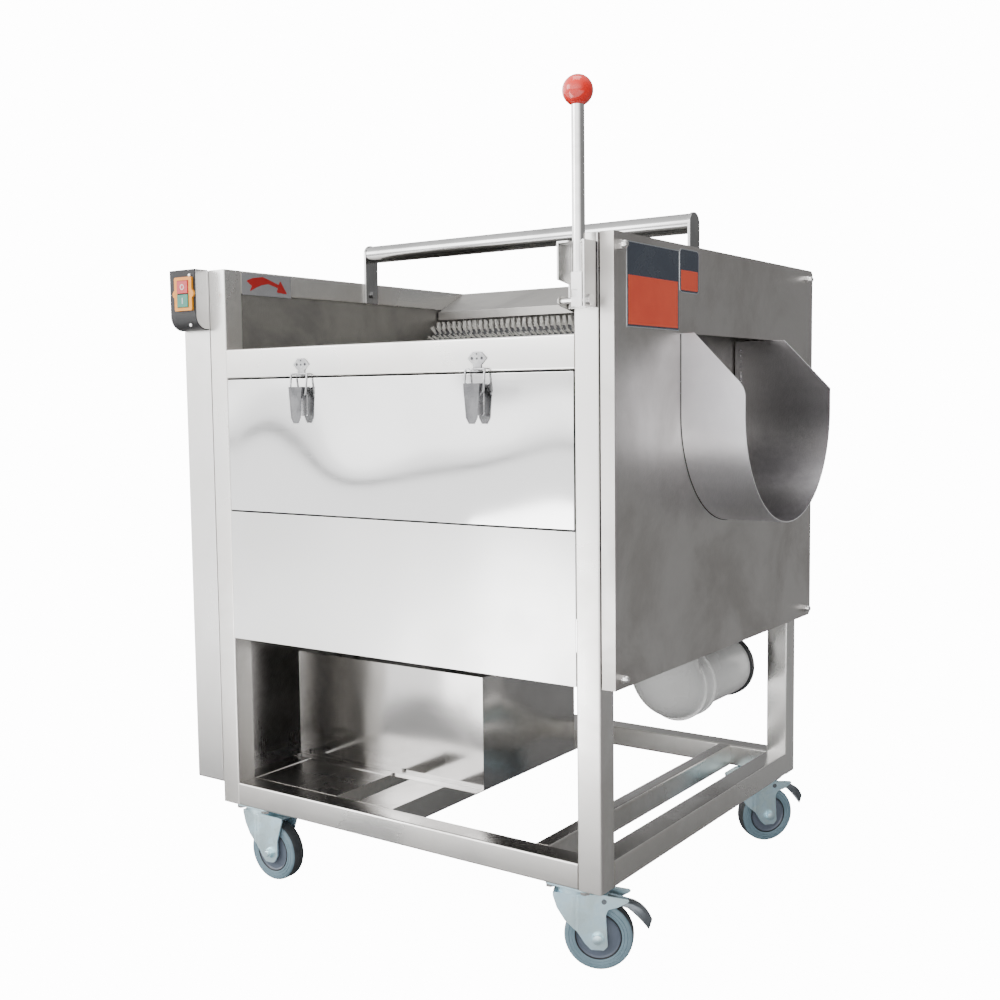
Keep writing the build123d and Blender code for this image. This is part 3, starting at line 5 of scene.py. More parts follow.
import bmesh
import bpy
from mathutils import Matrix, Vector


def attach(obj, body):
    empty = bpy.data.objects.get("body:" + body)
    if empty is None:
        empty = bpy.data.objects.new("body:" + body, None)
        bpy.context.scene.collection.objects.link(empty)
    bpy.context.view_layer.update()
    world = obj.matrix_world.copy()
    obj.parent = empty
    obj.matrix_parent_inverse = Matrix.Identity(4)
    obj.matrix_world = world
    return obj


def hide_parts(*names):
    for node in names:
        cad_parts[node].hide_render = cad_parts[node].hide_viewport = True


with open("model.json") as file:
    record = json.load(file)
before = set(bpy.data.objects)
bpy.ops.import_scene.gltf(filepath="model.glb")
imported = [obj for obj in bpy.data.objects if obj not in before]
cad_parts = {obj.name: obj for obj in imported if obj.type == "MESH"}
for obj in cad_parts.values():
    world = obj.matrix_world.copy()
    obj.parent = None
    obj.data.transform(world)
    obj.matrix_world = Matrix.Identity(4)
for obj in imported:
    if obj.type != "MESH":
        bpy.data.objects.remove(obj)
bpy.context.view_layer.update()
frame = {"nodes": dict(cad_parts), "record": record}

# Places are given in millimetres from the outer right, front, bottom corner of the tube frame.
MM = 0.001
CORNER = Vector((0.360, -0.3579232, 0.133))
CORNER_X = 360.0
# The trough of rollers and the chute share one axis along X.
TROUGH_Y, TROUGH_Z, TROUGH_R = 378.0, 691.0, 174.0
# The outer face of the side panel.
PANEL_FACE = 25.0
# Turns that make local Z look forward or right, with local Y up.
FORWARD = Matrix(((1, 0, 0, 0), (0, 0, -1, 0), (0, 1, 0, 0), (0, 0, 0, 1)))
RIGHTWARD = Matrix(((0, 0, 1, 0), (1, 0, 0, 0), (0, 1, 0, 0), (0, 0, 0, 1)))


def at(x, y, z):
    """Turn a place in millimetres from the frame's corner into the scene's metres."""
    return CORNER + Vector((x, y, z)) * MM


# ---- shared surface effects, each built once as a shader node group ----


def effect(name, inputs, outputs):
    """Start a shader node group with named inputs (name, kind, default) and outputs (name, kind)."""
    group = bpy.data.node_groups.new(name, "ShaderNodeTree")
    for label, kind, value in inputs:
        socket = group.interface.new_socket(label, in_out="INPUT", socket_type=kind)
        if value is not None:
            socket.default_value = value
    for label, kind in outputs:
        group.interface.new_socket(label, in_out="OUTPUT", socket_type=kind)
    return group, group.nodes.new("NodeGroupInput"), group.nodes.new("NodeGroupOutput")


def wire(tree, pairs):
    """Join output sockets to input sockets."""
    for source, target in pairs:
        tree.links.new(source, target)


def node(tree, kind, values=None, **settings):
    """Add a node, with settings on the node itself and values on its input sockets."""
    made = tree.nodes.new(kind)
    for key, value in settings.items():
        setattr(made, key, value)
    for key, value in (values or {}).items():
        made.inputs[key].default_value = value
    return made


def make_stretched_grain():
    """Fine noise drawn out along one direction, as left by brushing and rolling."""
    group, given, out = effect(
        "stretched_grain",
        [("Place", "NodeSocketVector", None), ("Stretch", "NodeSocketVector", (1, 1, 1)),
         ("Detail", "NodeSocketFloat", 3.0)],
        [("Mask", "NodeSocketFloat")],
    )
    scaled = node(group, "ShaderNodeVectorMath", operation="MULTIPLY")
    grain = node(group, "ShaderNodeTexNoise", {"Scale": 1.0, "Roughness": 0.6})
    wire(group, [
        (given.outputs["Place"], scaled.inputs[0]), (given.outputs["Stretch"], scaled.inputs[1]),
        (scaled.outputs[0], grain.inputs["Vector"]), (given.outputs["Detail"], grain.inputs["Detail"]),
        (grain.outputs["Fac"], out.inputs["Mask"]),
    ])
    return group


def make_cloudy_patches():
    """Soft uneven patches with a lower and an upper edge, as handling marks and heat tint make."""
    group, given, out = effect(
        "cloudy_patches",
        [("Place", "NodeSocketVector", None), ("Scale", "NodeSocketFloat", 5.0), ("Low", "NodeSocketFloat", 0.4),
         ("High", "NodeSocketFloat", 0.7)],
        [("Mask", "NodeSocketFloat")],
    )
    cloud = node(group, "ShaderNodeTexNoise", {"Detail": 5.0, "Roughness": 0.55, "Distortion": 0.4})
    ramp = node(group, "ShaderNodeMapRange", interpolation_type="SMOOTHSTEP")
    wire(group, [
        (given.outputs["Place"], cloud.inputs["Vector"]), (given.outputs["Scale"], cloud.inputs["Scale"]),
        (cloud.outputs["Fac"], ramp.inputs["Value"]), (given.outputs["Low"], ramp.inputs["From Min"]),
        (given.outputs["High"], ramp.inputs["From Max"]), (ramp.outputs["Result"], out.inputs["Mask"]),
    ])
    return group


def make_worn_edges():
    """A mask that is full on outer edges and breaks up away from them."""
    group, given, out = effect(
        "worn_edges",
        [("Place", "NodeSocketVector", None), ("Break", "NodeSocketFloat", 60.0), ("Reach", "NodeSocketFloat", 0.56)],
        [("Mask", "NodeSocketFloat")],
    )
    geometry = node(group, "ShaderNodeNewGeometry")
    ramp = node(group, "ShaderNodeMapRange", {"From Min": 0.51}, interpolation_type="SMOOTHSTEP")
    chips = node(group, "ShaderNodeTexNoise", {"Detail": 4.0, "Roughness": 0.7})
    both = node(group, "ShaderNodeMath", operation="MULTIPLY")
    wire(group, [
        (geometry.outputs["Pointiness"], ramp.inputs["Value"]), (given.outputs["Reach"], ramp.inputs["From Max"]),
        (given.outputs["Place"], chips.inputs["Vector"]), (given.outputs["Break"], chips.inputs["Scale"]),
        (ramp.outputs["Result"], both.inputs[0]), (chips.outputs["Fac"], both.inputs[1]),
        (both.outputs[0], out.inputs["Mask"]),
    ])
    return group


GRAIN = make_stretched_grain()
PATCHES = make_cloudy_patches()
EDGES = make_worn_edges()


def use(tree, group, place, **values):
    """Place a shared effect in a material, fed with the place on the object."""
    made = tree.nodes.new("ShaderNodeGroup")
    made.node_tree = group
    tree.links.new(place, made.inputs["Place"])
    for key, value in values.items():
        made.inputs[key].default_value = value
    return made.outputs["Mask"]


def finish_start(name):
    """Start a material and return it with its tree, its shader and the object's own coordinates."""
    made = bpy.data.materials.new(name)
    made.use_nodes = True
    tree = made.node_tree
    shader = tree.nodes["Principled BSDF"]
    place = tree.nodes.new("ShaderNodeTexCoord").outputs["Object"]
    return made, tree, shader, place


def blended(tree, low, high, mask):
    """Blend two colours by a mask."""
    mix = node(tree, "ShaderNodeMix", data_type="RGBA")
    mix.inputs["A"].default_value = (*low, 1.0)
    mix.inputs["B"].default_value = (*high, 1.0)
    tree.links.new(mask, mix.inputs["Factor"])
    return mix.outputs["Result"]


def ranged(tree, mask, low, high):
    """Turn a mask into a value between two limits."""
    ramp = node(tree, "ShaderNodeMapRange", {"To Min": low, "To Max": high})
    tree.links.new(mask, ramp.inputs["Value"])
    return ramp.outputs["Result"]


def bumped(tree, shader, layers):
    """Chain bumps from (height, strength, distance) onto the shader's normal."""
    normal = None
    for height, strength, distance in layers:
        bump = node(tree, "ShaderNodeBump", {"Strength": strength, "Distance": distance})
        tree.links.new(height, bump.inputs["Height"])
        if normal is not None:
            tree.links.new(normal, bump.inputs["Normal"])
        normal = bump.outputs["Normal"]
    tree.links.new(normal, shader.inputs["Normal"])


def metal(name, light, dark, rough, stretch, grain_depth=0.00003, wave=None, patch_scale=4.0):
    """Bare metal: two tones in patches, grain along the stretch's small direction, and optional slow waves."""
    made, tree, shader, place = finish_start(name)
    shader.inputs["Metallic"].default_value = 1.0
    grain = use(tree, GRAIN, place, Stretch=stretch)
    patch = use(tree, PATCHES, place, Scale=patch_scale, Low=0.38, High=0.68)
    tree.links.new(blended(tree, light, dark, patch), shader.inputs["Base Color"])
    streak = node(tree, "ShaderNodeMath", operation="MULTIPLY_ADD")
    streak.inputs[1].default_value = GRAIN_SHARE
    wire(tree, [(grain, streak.inputs[0]), (patch, streak.inputs[2])])
    tree.links.new(ranged(tree, streak.outputs[0], rough[0], rough[1]), shader.inputs["Roughness"])
    layers = []
    if wave:
        wave_stretch, wave_depth = wave
        swell = use(tree, GRAIN, place, Stretch=wave_stretch, Detail=0.0)
        layers.append((swell, 1.0, wave_depth))
    layers.append((grain, 0.6, grain_depth))
    bumped(tree, shader, layers)
    return made


def coated(name, colour, shade, rough, coat=0.0, bump=(220.0, 0.00004), patch_scale=14.0, worn=None):
    """Paint, plastic or rubber: a colour with slight shading in patches, a fine bump, and optional worn edges."""
    made, tree, shader, place = finish_start(name)
    patch = use(tree, PATCHES, place, Scale=patch_scale, Low=0.35, High=0.75)
    tone = blended(tree, colour, shade, patch)
    if worn:
        mask = use(tree, EDGES, place, Break=90.0, Reach=0.57)
        mix = node(tree, "ShaderNodeMix", data_type="RGBA")
        mix.inputs["B"].default_value = (*worn, 1.0)
        wire(tree, [(mask, mix.inputs["Factor"]), (tone, mix.inputs["A"])])
        tone = mix.outputs["Result"]
    tree.links.new(tone, shader.inputs["Base Color"])
    tree.links.new(ranged(tree, patch, rough[0], rough[1]), shader.inputs["Roughness"])
    shader.inputs["Coat Weight"].default_value = coat
    shader.inputs["Coat Roughness"].default_value = 0.06
    fine = use(tree, GRAIN, place, Stretch=(bump[0],) * 3)
    bumped(tree, shader, [(fine, 0.5, bump[1])])
    return made


# How much of the grain adds to the patches in a metal's roughness.
GRAIN_SHARE = 0.35
# Stretches of the grain along each axis, and even grain.
ALONG_X = (6.0, 420.0, 420.0)
ALONG_Y = (420.0, 6.0, 420.0)
ALONG_Z = (420.0, 420.0, 6.0)
EVEN = (260.0, 260.0, 260.0)

FINISH = {
    "post_steel": metal("brushed_tube_upright", (0.86, 0.85, 0.83), (0.7, 0.68, 0.65), (0.2, 0.36), ALONG_Z,
        wave=((14, 14, 3), 0.001)),
    "rail_steel": metal("brushed_tube_level", (0.86, 0.85, 0.83), (0.72, 0.7, 0.67), (0.2, 0.36), ALONG_X,
        wave=((3, 10, 10), 0.0008)),
    "door_steel": metal("polished_door_sheet", (0.88, 0.88, 0.88), (0.8, 0.8, 0.79), (0.05, 0.13), ALONG_X, 0.000006,
        wave=((4.2, 1.0, 3.2), 0.012), patch_scale=2.0),
    "panel_steel": metal("satin_front_sheet", (0.8, 0.8, 0.79), (0.68, 0.67, 0.66), (0.16, 0.26), ALONG_X, 0.00001,
        wave=((3.0, 1.0, 2.2), 0.01), patch_scale=2.4),
    "side_steel": metal("satin_side_sheet", (0.66, 0.64, 0.62), (0.48, 0.46, 0.44), (0.3, 0.44), ALONG_Y, 0.00003,
        wave=((1.0, 2.2, 2.6), 0.004), patch_scale=5.0),
    "cover_steel": metal("satin_cover_sheet", (0.8, 0.79, 0.78), (0.66, 0.65, 0.63), (0.24, 0.38), ALONG_Z, 0.00002,
        wave=((2.0, 2.0, 1.4), 0.006), patch_scale=3.0),
    "chute_steel": metal("satin_chute_sheet", (0.72, 0.71, 0.73), (0.6, 0.59, 0.62), (0.28, 0.42), ALONG_X, 0.00003,
        patch_scale=5.0),
    # The chute's inner faces: the same sheet made darker as painted shade.
    "chute_inside_painted_shade": metal("chute_inside_painted_shade_sheet", (0.36, 0.35, 0.36), (0.2, 0.19, 0.2), (0.3, 0.44), ALONG_X, 0.00004,
        patch_scale=5.0),
    # Sheets inside the machine: a duller steel, also made darker as painted shade.
    "hopper_steel": metal("dull_hopper_sheet_painted_shade", (0.42, 0.41, 0.39), (0.3, 0.29, 0.28), (0.34, 0.48), ALONG_X, 0.00004,
        patch_scale=6.0),
    "box_steel": metal("polished_box_sheet", (0.56, 0.55, 0.54), (0.36, 0.35, 0.34), (0.1, 0.22), ALONG_X, 0.00001,
        wave=((5.0, 4.0, 5.0), 0.008), patch_scale=3.0),
    "bright_steel": metal("bright_turned_steel", (0.86, 0.85, 0.84), (0.72, 0.71, 0.7), (0.12, 0.22), EVEN, 0.00002,
        patch_scale=30.0),
    "handle_steel": metal("polished_handle_tube", (0.5, 0.5, 0.5), (0.38, 0.38, 0.38), (0.1, 0.2), ALONG_X, 0.00001,
        patch_scale=8.0),
    "latch_steel": metal("pressed_latch_steel", (0.2, 0.2, 0.205), (0.12, 0.12, 0.125), (0.14, 0.26), ALONG_Z,
        0.00002, patch_scale=30.0),
    "keeper_steel": metal("stamped_keeper_steel", (0.46, 0.46, 0.465), (0.3, 0.3, 0.305), (0.2, 0.34), EVEN, 0.00002,
        patch_scale=60.0),
    # The tops of the base rails: the rail steel made darker as painted shade.
    "rail_top_painted_shade": metal("painted_shade_rail_top", (0.5, 0.49, 0.48), (0.34, 0.33, 0.32), (0.16, 0.3), ALONG_X,
        wave=((3, 10, 10), 0.0008)),
    "rivet_steel": metal("aged_rivet_steel", (0.1, 0.1, 0.105), (0.06, 0.06, 0.065), (0.2, 0.32), EVEN, 0.00001,
        patch_scale=60.0),
    # The chute's cut edges: near-white metal as a painted highlight.
    "painted_highlight_edge": metal("painted_highlight_sheet_edge", (0.96, 0.96, 0.96), (0.88, 0.88, 0.88), (0.5, 0.62), EVEN, 0.00002,
        patch_scale=30.0),
    # Near-black for the line round the chute: a painted shadow.
    "joint_dark": coated("painted_shadow_gap", (0.012, 0.012, 0.012), (0.02, 0.02, 0.02), (0.5, 0.65)),
    "zinc": metal("pale_blue_zinc", (0.76, 0.95, 1.0), (0.6, 0.8, 0.9), (0.36, 0.52), EVEN, 0.00003,
        patch_scale=30.0),
    "pedal": metal("dark_plated_pedal", (0.3, 0.33, 0.36), (0.18, 0.2, 0.22), (0.3, 0.45), EVEN, 0.00003,
        patch_scale=30.0),
    "chain": metal("oiled_chain_steel", (0.28, 0.27, 0.26), (0.16, 0.15, 0.14), (0.3, 0.45), EVEN, 0.00005,
        patch_scale=40.0),
    "shaft_steel": metal("turned_shaft_steel", (0.7, 0.69, 0.68), (0.55, 0.54, 0.53), (0.22, 0.34), EVEN, 0.00002,
        patch_scale=20.0),
    "casting": coated("painted_casting", (0.12, 0.14, 0.15), (0.08, 0.09, 0.1), (0.45, 0.6), bump=(300.0, 0.00012),
        worn=(0.4, 0.4, 0.4)),
    "motor_paint": coated("motor_enamel", (0.1, 0.16, 0.22), (0.07, 0.12, 0.17), (0.35, 0.5), bump=(200.0, 0.00008),
        worn=(0.4, 0.4, 0.4)),
    "bristle": coated("nylon_bristle", (0.84, 0.83, 0.79), (0.7, 0.69, 0.65), (0.35, 0.5), bump=(150.0, 0.00002)),
    "core": coated("brush_core_plastic", (0.025, 0.025, 0.028), (0.015, 0.015, 0.018), (0.4, 0.55)),
    "tyre": coated("grey_tyre_rubber", (0.17, 0.25, 0.3), (0.13, 0.2, 0.24), (0.5, 0.65), bump=(260.0, 0.0001),
        patch_scale=24.0),
    "tread": coated("dark_tread_rubber", (0.06, 0.065, 0.07), (0.04, 0.045, 0.05), (0.5, 0.7), bump=(260.0, 0.0001),
        patch_scale=24.0),
    "hub": coated("slate_hub_plastic", (0.11, 0.13, 0.17), (0.08, 0.1, 0.13), (0.35, 0.5), bump=(300.0, 0.00006)),
    "hub_ring": coated("black_hub_ring", (0.008, 0.009, 0.012), (0.012, 0.013, 0.016), (0.3, 0.45)),
    "ball": coated("red_ball_plastic", (0.86, 0.02, 0.008), (0.78, 0.016, 0.006), (0.12, 0.18), coat=0.6,
        bump=(60.0, 0.00002)),
    "pipe": coated("white_pipe_plastic", (0.86, 0.86, 0.85), (0.78, 0.78, 0.77), (0.22, 0.32), coat=0.2,
        patch_scale=8.0),
    "ring_rubber": coated("black_ring_rubber", (0.02, 0.021, 0.024), (0.03, 0.03, 0.033), (0.5, 0.65)),
    "switch_black": coated("black_switch_plate", (0.006, 0.006, 0.007), (0.01, 0.01, 0.011), (0.5, 0.62),
        bump=(500.0, 0.00008)),
    "bezel_yellow": coated("yellow_bezel_plastic", (0.9, 0.34, 0.008), (0.84, 0.28, 0.006), (0.35, 0.45), coat=0.1),
    "button_red": coated("red_button_plastic", (0.66, 0.045, 0.055), (0.58, 0.03, 0.04), (0.3, 0.4), coat=0.2),
    "button_green": coated("green_button_plastic", (0.03, 0.25, 0.17), (0.02, 0.2, 0.14), (0.3, 0.4), coat=0.2),
    "mark_white": coated("white_button_mark", (0.82, 0.82, 0.8), (0.74, 0.74, 0.72), (0.3, 0.4)),
    "plate_red": coated("red_plate_print", (0.78, 0.085, 0.035), (0.7, 0.07, 0.03), (0.28, 0.38), coat=0.1),
    "plate_dark": coated("dark_plate_print", (0.035, 0.045, 0.065), (0.05, 0.06, 0.08), (0.22, 0.32), coat=0.1),
    "plate_rim": metal("nameplate_rim_metal", (0.72, 0.76, 0.8), (0.6, 0.64, 0.68), (0.3, 0.4), EVEN),
    "sticker_grey": coated("grey_sticker_film", (0.28, 0.28, 0.29), (0.24, 0.24, 0.25), (0.3, 0.4)),
    "arrow_red": coated("red_arrow_print", (0.42, 0.012, 0.01), (0.36, 0.01, 0.008), (0.3, 0.4)),
    "weld": metal("weld_bead", (0.62, 0.6, 0.6), (0.34, 0.33, 0.36), (0.3, 0.5), EVEN, 0.0002, patch_scale=120.0),
}

# ---- mesh tools ----


def put_in_scene(name, data):
    """Make an object of the data and put it in the scene."""
    made = bpy.data.objects.new(name, data)
    bpy.context.scene.collection.objects.link(made)
    return made


def add_piece(name, data, finish, body):
    """Put a mesh in the scene as a piece that rides on a body, with its finish."""
    piece = put_in_scene(name, data)
    for one in finish if isinstance(finish, (list, tuple)) else [finish]:
        piece.data.materials.append(FINISH[one])
    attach(piece, body)
    return piece


def mesh_from(name, shape, smooth_angle=35.0):
    """Turn a bmesh into a mesh whose faces are smooth, with edges sharper than the angle kept sharp."""
    bmesh.ops.recalc_face_normals(shape, faces=shape.faces)
    limit = math.radians(smooth_angle)
    for face in shape.faces:
        face.smooth = True
    for edge in shape.edges:
        edge.smooth = len(edge.link_faces) == 2 and edge.calc_face_angle(0.0) < limit
    data = bpy.data.meshes.new(name)
    shape.to_mesh(data)
    shape.free()
    return data


def round_edges(piece, width, segments=2):
    """Round the sharp edges of a piece by a width in millimetres."""
    bevel = piece.modifiers.new("rounded_edges", "BEVEL")
    bevel.width = width * MM
    bevel.segments = segments
    bevel.limit_method = "ANGLE"
    bevel.angle_limit = math.radians(40.0)
    bevel.use_clamp_overlap = True
    bevel.harden_normals = True


BODY_OF = {name: body for body, names in frame["record"]["behaviour"]["bodies"].items() for name in names}


def box_of(name):
    """Give the least and the greatest corner of a CAD node, in millimetres from the frame's corner."""
    spots = [(Vector(vert.co) - CORNER) / MM for vert in frame["nodes"][name].data.vertices]
    return tuple(Vector(pick(spot[k] for spot in spots) for k in range(3)) for pick in (min, max))


def dress(name, finish, edge=0.0, segments=2, second=None, shift=None):
    """Show a CAD node as a cleaned copy with soft edges and its finish.

    second turns a face's middle and normal into the number of its finish, and shift a corner into its move.
    """
    source = frame["nodes"][name]
    shape = bmesh.new()
    shape.from_mesh(source.data)
    bmesh.ops.remove_doubles(shape, verts=shape.verts, dist=0.00001)
    bmesh.ops.dissolve_limit(shape, angle_limit=math.radians(0.6), verts=shape.verts, edges=shape.edges)
    if second:
        for face in shape.faces:
            face.material_index = int(second((face.calc_center_median() - CORNER) / MM, face.normal))
    if shift:
        for vert in shape.verts:
            vert.co += shift((vert.co - CORNER) / MM) * MM
    piece = add_piece(f"{name}_dressed", mesh_from(f"{name}_dressed", shape), finish, BODY_OF[name])
    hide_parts(name)
    if edge:
        round_edges(piece, edge, segments)
    return piece


def turned(shape, profile, place, steps, material=0):
    """Add a turned ring to the shape from (radius, height) in millimetres, about the place's local Z."""
    rings = []
    for step in range(steps):
        angle = 2 * math.pi * step / steps
        ring = []
        for radius, height in profile:
            spot = Vector((radius * math.cos(angle), radius * math.sin(angle), height)) * MM
            ring.append(shape.verts.new(place @ spot))
        rings.append(ring)
    count = len(profile)
    for step in range(steps):
        here, there = rings[step], rings[(step + 1) % steps]
        for k in range(count):
            nxt = (k + 1) % count
            shape.faces.new((here[k], there[k], there[nxt], here[nxt])).material_index = material


def prism(shape, outline, place, depth, material=0):
    """Add a flat-sided solid to the shape from an outline in millimetres in the place's local XY."""
    low = [shape.verts.new(place @ (Vector((x, y, 0)) * MM)) for x, y in outline]
    high = [shape.verts.new(place @ (Vector((x, y, depth)) * MM)) for x, y in outline]
    faces = [shape.faces.new(low[::-1]), shape.faces.new(high)]
    count = len(outline)
    for k in range(count):
        nxt = (k + 1) % count
        faces.append(shape.faces.new((low[k], low[nxt], high[nxt], high[k])))
    for face in faces:
        face.material_index = material


def arc_points(centre, radius, start, end, steps):
    """List the points of an arc between two angles in degrees."""
    spots = []
    for step in range(steps + 1):
        angle = math.radians(start + (end - start) * step / steps)
        spots.append((centre[0] + radius * math.cos(angle), centre[1] + radius * math.sin(angle)))
    return spots


def wire_piece(name, points, radius, finish, body):
    """Make a round wire of a radius in millimetres through points in metres."""
    curve = bpy.data.curves.new(name, "CURVE")
    curve.dimensions = "3D"
    curve.bevel_depth = radius * MM
    curve.bevel_resolution = 4
    curve.use_fill_caps = True
    line = curve.splines.new("POLY")
    line.points.add(len(points) - 1)
    for spot, point in zip(line.points, points):
        spot.co = (*point, 1.0)
    line.use_smooth = True
    return add_piece(name, curve, finish, body)


# ---- frame, sheets and covers from the CAD, with soft edges ----

# The base rails end below this height.
BASE_TOP = 60.0

dress("corner_posts", "post_steel", 0.8)
# The upward faces of the base rails take the darker rail steel, as painted shade.
dress("frame_rails", ["rail_steel", "rail_top_painted_shade"], 0.8,
      second=lambda spot, normal: normal.z > 0.9 and spot.z < BASE_TOP)
dress("side_panel", "side_steel", 0.7)
dress("drive_cover", "cover_steel", 0.7)
dress("back_panel", "cover_steel", 0.4)
dress("front_door", "door_steel", 1.4, 3)
dress("lower_front_panel", "panel_steel", 0.4)
dress("hopper_sheets", "hopper_steel", 0.4)
dress("end_plates", "hopper_steel", 0.4)
dress("discharge_gate", "hopper_steel", 0.6)


def chute_finish(spot, normal):
    """Pick 0 for the chute's outside, 1 for its inner face, which looks at the axis and is darkened as painted shade,
    and 2 for its cut edges, which are made pale as a painted highlight.
    """
    if abs(normal.x) > 0.3 or (normal.z > 0.95 and spot.z > TROUGH_Z):
        return 2
    outward = normal.y * (spot.y - TROUGH_Y) + normal.z * (spot.z - TROUGH_Z)
    return 1 if outward < -20.0 else 0


dress("discharge_chute", ["chute_steel", "chute_inside_painted_shade", "painted_highlight_edge"], 0.5, second=chute_finish)
dress("motor_box", "box_steel", 0.6)
dress("handle_bar", "handle_steel", 1.0)
dress("lever_bracket", "panel_steel", 0.6)
dress("control_lever", "bright_steel", 0.8)
dress("drain_elbow", "pipe", 1.0, 3)
dress("drain_coupling", "ring_rubber", 0.8)
dress("dome_nuts", "bright_steel", 0.4)
dress("switch_hood", "cover_steel", 0.4)
dress("latch_bases", "keeper_steel", 0.3)
dress("latch_keepers", "keeper_steel", 0.4)
for side in ("left", "right"):
    dress(f"latch_lever_{side}", "latch_steel", 0.6)
    dress(f"latch_bail_{side}", "keeper_steel")

# The button faces are sunk by this much, so that their marks end level with the CAD.
MARK_DEPTH = 0.35
BEZEL_DEPTH = 3.5


def sunk_face(face):
    """Make a shift that moves the corners at a face's Y back by the depth of a mark."""
    return lambda spot: Vector((0, MARK_DEPTH, 0)) if spot.y < face + 0.1 else Vector()


for name, finish in (("start_button", "button_green"), ("stop_button", "button_red")):
    dress(name, finish, 0.3, shift=sunk_face(box_of(name)[0].y))
bezel_back = box_of("switch_plate")[0].y + BEZEL_DEPTH
dress("switch_plate", ["switch_black", "bezel_yellow"], 0.4,
      second=lambda spot, normal: spot.y < bezel_back)
dress("lever_knob", "ball")
dress("bearing_housings", "casting", 0.8)
dress("motor", "motor_paint", 0.8)
dress("motor_pinion", "shaft_steel", 0.4)
dress("drive_chains", "chain")
dress("drain_tray", "hopper_steel", 0.4)
dress("caster_plates", "zinc", 0.6)

# ---- casters, each built in its own frame: swivel axis at the origin, frame foot at zero, trail along +X ----


def rounded(outline, radius, steps=5):
    """Round every corner of an outline of (x, y) points; a point with a third value has its own radius."""
    result = []
    count = len(outline)
    for k, corner_point in enumerate(outline):
        here = Vector(corner_point[:2])
        size = corner_point[2] if len(corner_point) > 2 else radius
        back = Vector(outline[k - 1][:2]) - here
        on = Vector(outline[(k + 1) % count][:2]) - here
        angle = back.angle(on)
        reach = min(size / math.tan(angle / 2), 0.48 * back.length, 0.48 * on.length)
        if size <= 0 or reach < 0.01:
            result.append(tuple(here))
            continue
        start, end = here + back.normalized() * reach, here + on.normalized() * reach
        for step in range(steps + 1):
            t = step / steps
            spot = start * (1 - t) ** 2 + here * 2 * t * (1 - t) + end * t * t
            result.append(tuple(spot))
    return result


def side_plane(place, y):
    """Make a matrix whose local X, Y and Z run along the place's X, Z and -Y, starting at y."""
    return place @ Matrix.Translation((0, y * MM, 0)) @ FORWARD


def hex_outline(across, turn=0.0):
    """List a hexagon's corners from its width across flats."""
    return [(across / math.sqrt(3) * math.cos(math.radians(60 * k + turn)),
             across / math.sqrt(3) * math.sin(math.radians(60 * k + turn))) for k in range(6)]


# The wheel's axle lies behind the swivel axis and below the frame.
TRAIL, AXLE = 34.4, -81.0
WHEEL_AXIS = Matrix.Translation((TRAIL * MM, 0, AXLE * MM)) @ Matrix.Rotation(math.pi / 2, 4, "X")
# Tyre faces farther from the axle than this are tread.
TREAD_R = 50.6
# The side outlines of a fork in (x, z, corner radius): its front edge, and its rear edge with and without a brake.
FORK_FRONT = [(24.5, -98.5, 2), (15.5, -90.0, 6), (4.0, -72.5, 8), (-15.0, -56.0, 10), (-27.0, -38.0, 8),
              (-33.0, -20.25, 3), (-33.0, -14.3, 1)]
BRAKED_REAR = [(41.0, -14.3, 4), (78.5, -18.8, 2), (81.0, -21.25, 1.5), (78.5, -23.7, 2), (64.0, -32.0, 5),
               (50.0, -36.0, 5), (46.5, -45.0, 4), (49.0, -92.5, 5), (43.0, -98.5, 3)]
PLAIN_REAR = [(65.0, -14.3, 2), (65.0, -21.0, 4), (59.0, -38.0, 8), (53.0, -59.0, 8), (53.0, -84.0, 9),
              (45.0, -97.0, 8), (36.0, -98.5, 6)]


def fork_shape(place, braked):
    """Make a fork: two cheeks with a pressed fold, drawn in at the front, the crown, the axle bolt and its nut."""
    shape = bmesh.new()
    outline = rounded(FORK_FRONT + (BRAKED_REAR if braked else PLAIN_REAR), 3)
    for y in (21.0, -18.0):
        prism(shape, outline, side_plane(Matrix.Identity(4), y), 3.0)
    rear = 49.0 if braked else 65.0
    prism(shape, rounded([(-33, -20.9, 9), (rear, -20.9, 2), (rear, 20.9, 2), (-33, 20.9, 9)], 3),
          Matrix.Translation((0, 0, -17.25 * MM)), 2.9)
    # Cut the fork into narrow bands, then press a fold into each cheek and draw both together toward the front.
    first_cut, band = -31.0, 1.7
    for step in range(32):
        every = shape.verts[:] + shape.edges[:] + shape.faces[:]
        cut = ((first_cut + band * step) * MM, 0, 0)
        bmesh.ops.bisect_plane(shape, geom=every, plane_co=cut, plane_no=(1, 0, 0))
    fold_depth, draw_in, draw_start, draw_length = 0.8, 0.16, -4.0, 29.0
    for vert in shape.verts:
        x = vert.co.x / MM
        if abs(vert.co.y) > 17.9 * MM and vert.co.z < -17.0 * MM:
            fold = math.exp(-((x + 2.0) / 3.2) ** 2) - math.exp(-((x - 5.5) / 2.6) ** 2)
            vert.co.y += math.copysign(fold_depth * fold * MM, vert.co.y)
        vert.co.y *= 1.0 - draw_in * min(1.0, max(0.0, (draw_start - x) / draw_length)) ** 1.3
    along = WHEEL_AXIS
    for side, head in ((1, braked), (-1, not braked)):
        turned(shape, [(r, side * h) for r, h in ((5.0, 20.9), (9.4, 20.9), (9.4, 22.0), (5.0, 22.0))], along, 28)
        low = 22.0 if side > 0 else -27.6
        prism(shape, hex_outline(15.0, 12.0 * side), along @ Matrix.Translation((0, 0, low * MM)), 5.6)
        dome = [(0.01, 28.9), (5.0, 28.5), (7.3, 27.5), (0.01, 27.5)]
        thread_end = [(0.01, 30.4), (4.2, 30.4), (4.9, 29.7), (4.9, 27.5), (0.01, 27.5)]
        turned(shape, [(r, side * h) for r, h in (dome if head else thread_end)], along, 24)
    turned(shape, [(0.01, -18), (5.0, -18), (5.0, 18), (0.01, 18)], along, 24)
    bmesh.ops.transform(shape, matrix=place, verts=shape.verts)
    return shape


